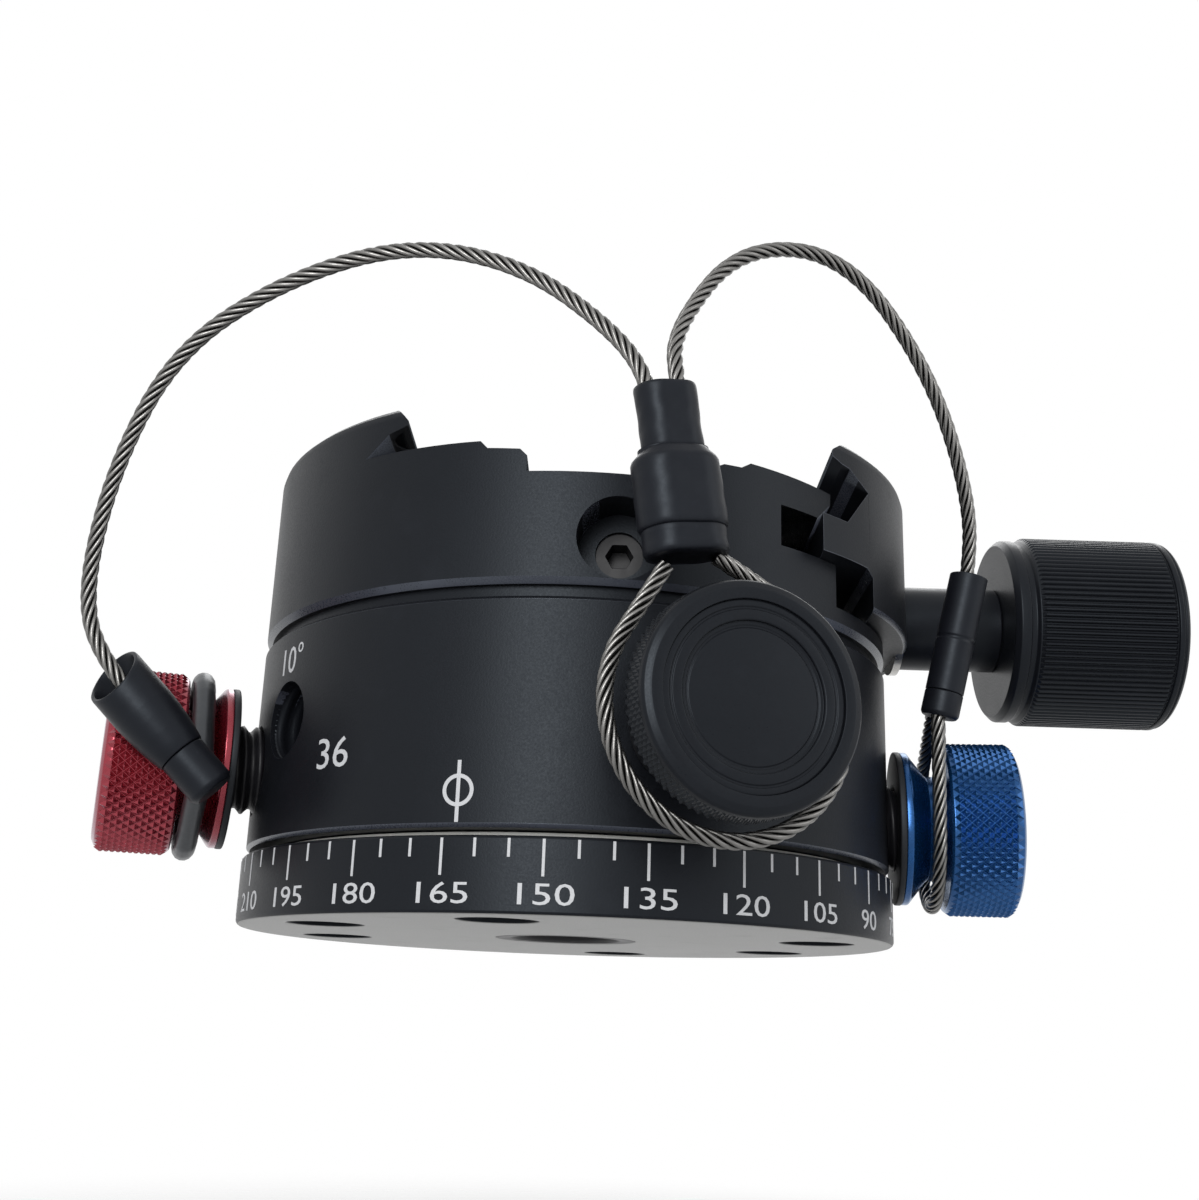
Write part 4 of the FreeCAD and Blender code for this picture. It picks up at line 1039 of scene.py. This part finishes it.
def scale_bars(count, low, high):
    """Graduations round the base's rim."""
    width = bpy.context.scene.head_shape.tick_width / MM
    block = tick_block(SCALE_INNER, SCALE_OUTER, width, low, high)
    return arrayed("bars", block, count, Matrix.Identity(4), "marking", start=math.radians(SCALE_ZERO_ANGLE))


# ---- sleeves


def oval_skin(sections, place, ripple=0.02, steps=72):
    """A closed skin through oval sections (wide, deep, height) with a pole at each end."""
    rings = [(0.0, sections[0][2])]
    for low, high in zip(sections, sections[1:]):
        rows = max(1, int(math.dist(low, high) / OVAL_STEP))
        for row in range(rows):
            t = row / rows
            wide, deep, height = [a + (b - a) * t for a, b in zip(low, high)]
            rings.append(stadium(wide, deep, height, ripple))
    rings.append(stadium(*sections[-1], ripple))
    rings.append((0.0, sections[-1][2]))
    return skin(rings, place, steps)


def slanted(ring, side, drop, start, end):
    """A ring that sinks on one side in step with its height, so that the mouth is cut at a slant."""
    radius, height = ring
    share = max(0.0, height - start) / (end - start)
    return lambda angle: (radius, height - drop * share * (0.5 + 0.5 * math.cos(angle - side)))


def oval_piece(name, sections, place, body, node):
    """A shrunk sleeve of oval section in place of its CAD node."""
    return piece(modelled(name, oval_skin(sections, place)), "shrink_sleeve", body, node)


# ---- operators


class HEAD_OT_base(bpy.types.Operator):
    """Dress the base plate and the threaded tripod bush"""

    bl_idname = "pan_head.base"
    bl_label = "Base plate and tripod bush"

    def execute(self, context):
        eased_copy("base_ring", "Base plate", "black_base", "base", 0.14, RIM_LIMIT, rim=(RIM_LIMIT, 0.0))
        bore = thread(3.98, -0.78, TRIPOD_PITCH, 0.5, 11.2)
        wall = [(4.76, 0.42), (5.15, 0.03), (6.4, 0.0), (6.5, 0.1), (6.5, 11.5), (4.8, 11.5), (4.76, 11.4)]
        # The tripod bush takes the dark black steel finish as painted shade for its deep bore.
        turned("Tripod bush", bore[::-1] + wall, Matrix.Identity(4), "black_steel", "base", "tripod_bush",
               steps=96, closed=True)
        for node, name in (("glide_preload_screws", "Preload screws"), ("glide_washer", "Sliding washer")):
            eased_copy(node, name, slot_finish(NODE_SLOTS[node]), "base", 0.06)
        return {"FINISHED"}


class HEAD_OT_scale(bpy.types.Operator):
    """Mark the degree scale round the base's rim"""

    bl_idname = "pan_head.degree_scale"
    bl_label = "Degree scale"

    def execute(self, context):
        height = context.scene.head_shape.figure_height / MM
        bars = [scale_bars(*tick) for tick in TICKS]
        flat_shaded(piece(joined("Degree graduations", bars), "marking", "base"))
        bm = bmesh.new()
        for label in range(0, 360, FIGURE_STEP):
            figures(bm, str(label), height, SCALE_ZERO_ANGLE - label, FIGURE_LOW, SCALE_INNER, SCALE_OUTER,
                    FIGURE_STRETCH)
        mark_object("Degree figures", bm, "base")
        return {"FINISHED"}


class HEAD_OT_rotor(bpy.types.Operator):
    """Dress the rotor with its index mark, index numbers and tapped holes"""

    bl_idname = "pan_head.rotor"
    bl_label = "Rotor"

    def execute(self, context):
        # The housing's rounds and down-sloping faces take the painted edge highlight.
        eased_copy("rotor_body", "Rotor housing", "black_blasted", "pan", 0.16, edge="black_edge",
                   rim=(ROTOR_RADIUS, 0.0))
        bm = bmesh.new()
        bar(bm, INDEX_MARK_ANGLE, *INDEX_LINE, INDEX_WIDTH, ROTOR_INNER, ROTOR_OUTER)
        circle_mark(bm, INDEX_MARK_ANGLE, INDEX_RING_HEIGHT, INDEX_RING_RADIUS, INDEX_WIDTH, ROTOR_INNER,
                    ROTOR_OUTER + 0.01)
        for text, height, angle, low, stretch in ROTOR_NUMBERS:
            figures(bm, text, height, angle, low, ROTOR_INNER, ROTOR_OUTER, stretch)
        mark_object("Index mark and numbers", bm, "pan")
        threads = []
        for angle, height in SPARE_HOLES:
            rings = thread(3.13, -0.19, PLUNGER_PITCH, 25.4, 29.15, fade=0.4) + [(3.45, 29.15), (3.45, 25.4)]
            threads.append(modelled("thread", skin(rings, facing_out(angle, height), 72, closed=True)))
        piece(joined("Tapped hole threads", threads), "black_turned", "pan")
        return {"FINISHED"}


class HEAD_OT_clamp(bpy.types.Operator):
    """Dress the clamp plate, the moving jaw and their screws"""

    bl_idname = "pan_head.clamp"
    bl_label = "Clamp plate and jaw"

    def execute(self, context):
        # The plate's and jaw's rounds and down-sloping faces take the painted edge highlight.
        for node, name, body, middle in (("clamp_base", "Clamp plate", "pan", 0.0),
                                         ("moving_jaw", "Moving jaw", "jaw", JAW_RIM_MIDDLE)):
            eased_copy(node, name, "black_blasted", body, 0.18, edge="black_edge", rim=(ROTOR_RADIUS, middle))
        # The front grub screw deep in its bore takes the dark black steel finish as painted shade.
        for node, name, finish in (("clamp_screws", "Clamp plate screws", "steel"),
                                   ("clamp_grub_screw", "Front grub screw", "black_steel"),
                                   ("guide_pins", "Jaw guide pins", "steel")):
            eased_copy(node, name, finish, "pan", 0.05)
        return {"FINISHED"}


class HEAD_OT_clamp_knob(bpy.types.Operator):
    """Turn the clamp knob with its straight knurl, cap and spacer"""

    bl_idname = "pan_head.clamp_knob"
    bl_label = "Clamp knob"

    def execute(self, context):
        count = context.scene.head_shape.ridge_count
        place, body = along_screw(CLAMP_KNOB_START), "clamp_screw"
        profile = rounded([(2.45, 0), (8.5, 0), (9.0, 0.5), (9.0, 1.4), (8.7, 1.5), (8.7, 2.0), (9.06, 2.25),
                           (9.06, 15.0), (9.3, 15.06), (9.3, 15.5), (9.12, 15.6), (9.12, 15.72), (9.2, 15.8),
                           (8.95, 16.1), (8.1, 16.4), (7.5, 16.4), (7.5, 15.2), (2.45, 15.2)], 0.08,
                          closed=True)
        turned("Clamp knob grip", profile, place, "black_turned", body, "clamp_knob", steps=212, closed=True)
        pitch = 2 * math.pi * CLAMP_KNOB_RADIUS / count
        ridge = knurl_ridge(CLAMP_KNOB_RADIUS, 0.24, pitch * 0.92, 2.3, 15.02)
        knurl("Clamp knob ridges", ridge, count, place, "black_knurled", body)
        face = rounded([(0, 0), (7.45, 0), (7.5, 0.8), (6.9, 1.0), (6.6, 1.0), (6.5, 0.88), (6.4, 0.88),
                        (6.3, 1.0), (0, 1.0)], 0.07)
        turned("Clamp knob cap face", face, along_screw(CLAMP_CAP_START), "black_turned", body,
               "clamp_knob_cap")
        sleeve = rounded([(2.45, 0), (4.0, 0), (4.1, 0.1), (4.1, 9.4), (4.0, 9.5), (2.45, 9.5)], 0.06,
                         closed=True)
        turned("Clamp screw spacer", sleeve, along_screw(CLAMP_SPACER_START), "black_turned", body,
               "clamp_spacer", steps=96, closed=True)
        return {"FINISHED"}


class HEAD_OT_lock_knob(bpy.types.Operator):
    """Turn the lock knob with its diamond knurl and stepped face"""

    bl_idname = "pan_head.lock_knob"
    bl_label = "Lock knob"

    def execute(self, context):
        place, body = facing_out(LOCK_ANGLE, LOCK_HEIGHT, LOCK_KNOB_START), "lock_screw"
        profile = rounded([(2.95, -6.8), (4.2, -6.8), (4.2, -0.5), (4.7, 0), (8.2, 0), (8.34, 0.25),
                           (8.34, 3.1), (8.55, 3.22), (8.45, 3.6), (8.3, 3.78), (7.8, 4.0), (7.0, 4.0),
                           (7.0, 2.8), (2.95, 2.8)], 0.06, closed=True)
        turned("Lock knob grip", profile, place, "black_turned", body, "lock_knob", steps=192, closed=True)
        point = diamond_point(LOCK_KNOB_RADIUS, 0.26, 0.86, 0.74, 0.7)
        knurl("Lock knob knurl", point, 72, place, "black_knurled", body, rows=6, row_step=0.43, stagger=0.5)
        face = rounded([(0, 0), (7.0, 0), (7.0, 0.96), (6.86, 1.0), (6.5, 1.0), (6.42, 0.9), (6.3, 0.9),
                        (6.22, 1.0), (5.55, 1.0), (5.45, 0.9), (5.45, 0.7), (5.2, 0.7), (5.12, 0.62),
                        (5.0, 0.62), (4.92, 0.7), (0, 0.7)], 0.05)
        place = facing_out(LOCK_ANGLE, LOCK_HEIGHT, LOCK_FACE_START)
        turned("Lock knob face", face, place, "black_turned", body, "lock_knob_cap", steps=192)
        return {"FINISHED"}


class HEAD_OT_plungers(bpy.types.Operator):
    """Turn both index plungers with their knurled grips, threads and washers"""

    bl_idname = "pan_head.plungers"
    bl_label = "Index plungers"

    def execute(self, context):
        count = context.scene.head_shape.grip_count
        for plunger in (RED, BLUE):
            colour = plunger["name"]
            body, title = colour + "_plunger", colour.title()
            place = facing_out(plunger["angle"], plunger["height"], plunger["seat"])
            profile = rounded([(0, 7.8), (4.0, 7.8), (4.0, 0.6), (7.0, 0.6), (7.0, 1.1), (6.9, 1.25),
                               (5.0, 2.7), (4.8, 2.9), (4.8, 4.4), (7.45, 4.4), (7.64, 4.62), (7.64, 10.1),
                               (7.4, 10.6), (6.9, 10.85), (6.4, 10.9), (6.0, 10.9), (5.9, 10.8), (5.75, 10.8),
                               (5.65, 10.9), (0, 10.9)], 0.09)
            turned(title + " knob", profile, place, colour + "_anodised", body, colour + "_knob", steps=192)
            pitch = 2 * math.pi * PLUNGER_KNOB_RADIUS / count
            point = diamond_point(PLUNGER_KNOB_RADIUS, 0.27, 1.02, pitch * 0.97, 5.1)
            knurl(title + " knurl", point, count, place, colour + "_knurled", body, rows=11, row_step=0.49,
                  stagger=0.5)
            barrel = thread(4.0, 0.6, PLUNGER_PITCH, -5.0, 0.75)
            barrel += [(4.0, 0.8), (4.0, 7.5), (2.0, 7.5), (2.0, -5.0)]
            turned(title + " threaded barrel", barrel, place, "black_steel", body, colour + "_barrel",
                   steps=96, closed=True)
            ring = rounded([(4.0, 0), (7.05, 0), (7.05, 0.6), (4.0, 0.6)], 0.16, closed=True)
            turned(title + " knob washer", ring, place, "black_plastic", body, colour + "_washer", steps=128,
                   closed=True)
        return {"FINISHED"}


class HEAD_OT_sleeves(bpy.types.Operator):
    """Shape the shrunk sleeves and crimps of the tethers"""

    bl_idname = "pan_head.sleeves"
    bl_label = "Tether sleeves"

    def execute(self, context):
        place, length = sleeve_frame(LOCK_ANGLE, MAIN_SLEEVE, out_from(LOCK_ANGLE, 1, 0, 0))
        collar = [(5.7, 3.6, 0.0), (6.4, 4.2, 0.08), (6.66, 4.46, 0.4), (6.5, 4.3, 1.3), (6.6, 4.4, 2.0),
                  (6.3, 4.1, 2.3)]
        lower = [(6.0, 3.8, 2.05), (6.75, 4.55, 2.1), (7.0, 4.8, 2.3), (6.98, 4.75, 4.6), (6.9, 4.7, 7.3),
                 (6.7, 4.55, 7.55), (5.3, 3.7, 8.3), (5.0, 3.4, 8.38)]
        upper = [(4.6, 3.2, 8.2), (4.95, 3.45, 8.3), (4.85, 3.4, 10.5), (5.0, 3.5, length - 0.3),
                 (4.95, 3.45, length - 0.06), (4.7, 3.2, length), (4.35, 2.75, length - 0.02),
                 (4.2, 2.6, length - 0.2), (3.9, 2.2, length - 0.9)]
        for part, sections, node in (("foot", collar, "collar"), ("middle", lower, "lower"),
                                     ("neck", upper, "upper")):
            oval_piece("Main crimp sleeve " + part, sections, place, "pan", "main_sleeve_" + node)
        place, length = sleeve_frame(RED["angle"], RED_SLEEVE, UP)
        horn = rounded([(1.55, 1), (2.0, 1), (2.2, 2), (2.35, 3), (2.48, 4.3), (2.55, 5.5),
                        (2.55, length - 0.4), (2.5, length), (2.2, length), (2.15, length - 0.4), (1.95, 6.5),
                        (1.55, 5.2)], 0.12, closed=True)
        toward = math.atan2(*[place.col[index].to_3d().dot(Vector(CAMERA_FORWARD)) for index in (1, 0)])
        horn = [slanted(ring, toward + math.pi, MOUTH_SLANT, 5.5, length) for ring in horn]
        turned("Red crimp sleeve", horn, place, "shrink_sleeve", "red_carrier", "red_sleeve", steps=96,
               closed=True)
        core = rounded([(0, -3), (1.6, -3), (1.9, -2.6), (1.9, 0.95), (1.5, 1), (1.5, 5), (0, 5)], 0.15)
        turned("Red crimp core", core, place, "shrink_sleeve", "red_carrier", "red_ferrule", steps=64)
        place, length = sleeve_frame(BLUE["angle"], BLUE_SLEEVE, out_from(BLUE["angle"], 1, 0, 0))
        tube = rounded([(1.4, 0.5), (1.7, 0.5), (1.7, 5.2), (1.62, 5.35), (1.62, 5.5), (1.7, 5.65),
                        (1.7, length), (1.4, length)], 0.1, closed=True)
        turned("Blue crimp sleeve", tube, place, "shrink_sleeve", "blue_carrier", "blue_sleeve", steps=80,
               closed=True)
        core = rounded([(0, -1.8), (1.5, -1.8), (1.7, -1.5), (1.7, 0.45), (1.35, 0.5), (1.35, 6), (0, 6)],
                       0.12)
        turned("Blue crimp core", core, place, "shrink_sleeve", "blue_carrier", "blue_ferrule", steps=64)
        return {"FINISHED"}


class HEAD_OT_loops(bpy.types.Operator):
    """Lay the three rope loops that hold the tethers"""

    bl_idname = "pan_head.loops"
    bl_label = "Tether loops"

    def execute(self, context):
        left, right = [(side, up - LOCK_HEIGHT) for side, up in MAIN_STRANDS]
        out, radius = MAIN_LOOP
        line = loop_line(LOCK_ANGLE, out, LOCK_HEIGHT, radius, left, right)
        piece(laid_rope("Lock knob loop rope", line), "wire_rope", "pan", "tether_loop")
        for plunger, foot, (out, radius), diameter, lay_rope, finish in (
                (RED, RED_FOOT, RED_LOOP, BLACK_ROPE_DIAMETER, coated_rope, "black_rope"),
                (BLUE, BLUE_FOOT, BLUE_LOOP, ROPE_DIAMETER, laid_rope, "wire_rope")):
            colour = plunger["name"]
            foot = Vector(foot)
            shift = Vector((-foot.y, foot.x)).normalized() * (0.5 * diameter + STRAND_GAP)
            line = loop_line(plunger["angle"], out, plunger["height"], radius, foot + shift, foot - shift)
            piece(lay_rope(colour.title() + " loop rope", line), finish, colour + "_carrier",
                  colour + "_loop")
        return {"FINISHED"}


class HEAD_OT_tethers(bpy.types.Operator):
    """Lay the two free tethers between their sleeves"""

    bl_idname = "pan_head.tethers"
    bl_label = "Free tethers"

    def execute(self, context):
        for colour, route, length in (("red", RED_ROUTE, RED_LENGTH), ("blue", BLUE_ROUTE, BLUE_LENGTH)):
            line = route_line(colour + " route", route)
            rope = laid_rope(colour.title() + " tether rope", line)
            rope.data.materials.clear()
            rope.data.materials.append(finishes()["wire_rope"])
            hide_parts(colour + "_cable")
            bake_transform(rope)
            tuple(line[0])
            [tuple(point) for point in line]
        return {"FINISHED"}


class HEAD_OT_springs(bpy.types.Operator):
    """Fit the springs, which shorten as their pins and the jaw move in"""
    # Fit the springs of the jaw and of both plungers

    bl_idname = "pan_head.springs"
    bl_label = "Springs"

    def execute(self, context):
        pressed_spring("jaw_springs", "Jaw spring wire", "pan")
        for plunger in (RED, BLUE):
            colour, angle = plunger["name"], plunger["angle"]
            pressed_spring(colour + "_spring", colour.title() + " spring wire", colour + "_plunger")
        return {"FINISHED"}


def pressed_spring(node, name, body):
    """A spring as a smooth-shaded copy of its CAD node, in steel on its body."""
    mesh = finished_mesh(merged_node(node), name)
    obj = piece(plain_object(name, mesh), "steel", body, node)
    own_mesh(obj)


class HEAD_OT_hardware(bpy.types.Operator):
    """Give every remaining piece the finish of its slot"""

    bl_idname = "pan_head.hardware"
    bl_label = "Inner hardware"

    def execute(self, context):
        for part in frame["record"]["subparts"]:
            obj = frame["nodes"][part["node"]]
            if not obj.hide_render:
                obj.data.materials.clear()
                obj.data.materials.append(finishes()[slot_finish(part["material_slot"])])
        return {"FINISHED"}


class HEAD_OT_stage(bpy.types.Operator):
    """Set up the floor, the light and the camera"""

    bl_idname = "pan_head.stage"
    bl_label = "Studio"

    def execute(self, context):
        studio = context.scene.head_studio
        pale_world(studio.ambient)
        lay_floor(studio.floor)
        for name, place, size, share in LAMPS:
            hang_lamp(name, place, size, studio.key * share)
        place_camera(context.scene)
        context.scene.view_settings.view_transform = "Standard"
        return {"FINISHED"}


# ---- studio


def pale_world(ambient):
    """Even light from all round; what the camera and mirrors see of it is white."""
    world = bpy.data.worlds.new("Studio surround")
    world.use_nodes = True
    tree = world.node_tree
    rays = make(tree, "ShaderNodeLightPath").socket.node.outputs
    camera, glossy, passing = [Wire(tree, rays[name]) for name in ("Is Camera Ray", "Is Glossy Ray",
                                                                   "Is Transmission Ray")]
    seen = camera.highest(glossy.highest(passing))
    background = tree.nodes["Background"]
    background.inputs["Color"].default_value = (1.0, 1.0, 1.0, 1.0)
    feed(tree, background.inputs["Strength"], ambient + seen * (1.0 - ambient))
    bpy.context.scene.world = world


def lay_floor(height):
    """A wide pale floor that keeps the head's shadow."""
    finish = Finish("Pale floor")
    paint = finish.noise(60.0, 2.0)
    away = finish.make("ShaderNodeVectorMath", {"operation": "LENGTH"}, {"Vector": finish.place}, output=1)
    fade = finish.make("ShaderNodeMapRange", {"interpolation_type": "SMOOTHSTEP"},
                       {"Value": away, "From Min": FLOOR_FULL, "From Max": FLOOR_EDGE, "To Min": 1.0,
                        "To Max": 0.0})
    shade = finish.mix(paint, *FLOOR_TONES)
    material = finish.surface(base_color=shade, roughness=0.9, specular_ior_level=0.1, alpha=fade)
    bm = bmesh.new()
    bmesh.ops.create_circle(bm, cap_ends=True, segments=96, radius=FLOOR_EDGE / MM)
    bmesh.ops.translate(bm, vec=(0, 0, height / MM), verts=bm.verts)
    floor = modelled("Studio floor", bm, outward=False)
    floor.data.materials.append(material)


def hang_lamp(name, place, size, power):
    """A soft rectangular lamp that faces the head."""
    data = bpy.data.lights.new(name, "AREA")
    data.shape = "RECTANGLE"
    data.size, data.size_y = size
    data.energy = power
    lamp = bpy.data.objects.new(name, data)
    lamp.location = place
    lamp.rotation_euler = (Vector(LAMP_TARGET) - Vector(place)).to_track_quat("-Z", "Y").to_euler()
    bpy.context.scene.collection.objects.link(lamp)


def place_camera(scene):
    """The camera, a little below the base and looking up."""
    data = bpy.data.cameras.new("Head camera")
    data.lens = CAMERA_LENS
    data.sensor_width = 36.0
    data.clip_start = 0.005
    camera = bpy.data.objects.new("Head camera", data)
    forward = Vector(CAMERA_FORWARD).normalized()
    up = (Vector(CAMERA_UP) - forward * forward.dot(Vector(CAMERA_UP))).normalized()
    camera.matrix_world = axes(forward.cross(up), up, -forward, Vector(CAMERA_PLACE) * MM)
    scene.collection.objects.link(camera)
    scene.camera = camera


# ---- panel and start


STEPS = (HEAD_OT_base, HEAD_OT_scale, HEAD_OT_rotor, HEAD_OT_clamp, HEAD_OT_clamp_knob, HEAD_OT_lock_knob,
         HEAD_OT_plungers, HEAD_OT_sleeves, HEAD_OT_loops, HEAD_OT_tethers, HEAD_OT_springs, HEAD_OT_hardware,
         HEAD_OT_stage)


class HEAD_PT_panel(bpy.types.Panel):
    """Settings and steps of the panoramic head"""

    bl_idname = "HEAD_PT_panel"
    bl_label = "Panoramic head"
    bl_space_type = "VIEW_3D"
    bl_region_type = "UI"
    bl_category = "Pan head"

    def draw(self, context):
        for group in (context.scene.head_finish, context.scene.head_shape, context.scene.head_studio):
            column = self.layout.column(align=True)
            for name in group.__annotations__:
                column.prop(group, name)
        column = self.layout.column(align=True)
        for step in STEPS:
            column.operator(step.bl_idname)


SETTINGS = (("head_finish", FinishSettings), ("head_shape", ShapeSettings), ("head_studio", StudioSettings))


def register():
    for name, group in SETTINGS:
        bpy.utils.register_class(group)
        setattr(bpy.types.Scene, name, PointerProperty(type=group))
    for step in (*STEPS, HEAD_PT_panel):
        bpy.utils.register_class(step)


def unregister():
    for step in reversed((*STEPS, HEAD_PT_panel)):
        bpy.utils.unregister_class(step)
    for name, group in reversed(SETTINGS):
        delattr(bpy.types.Scene, name)
        bpy.utils.unregister_class(group)


def main():
    """Register the settings, steps and panel, then run every step in order."""
    register()
    for step in STEPS:
        getattr(bpy.ops.pan_head, step.bl_idname.split(".")[1])()


if __name__ == "__main__":
    main()
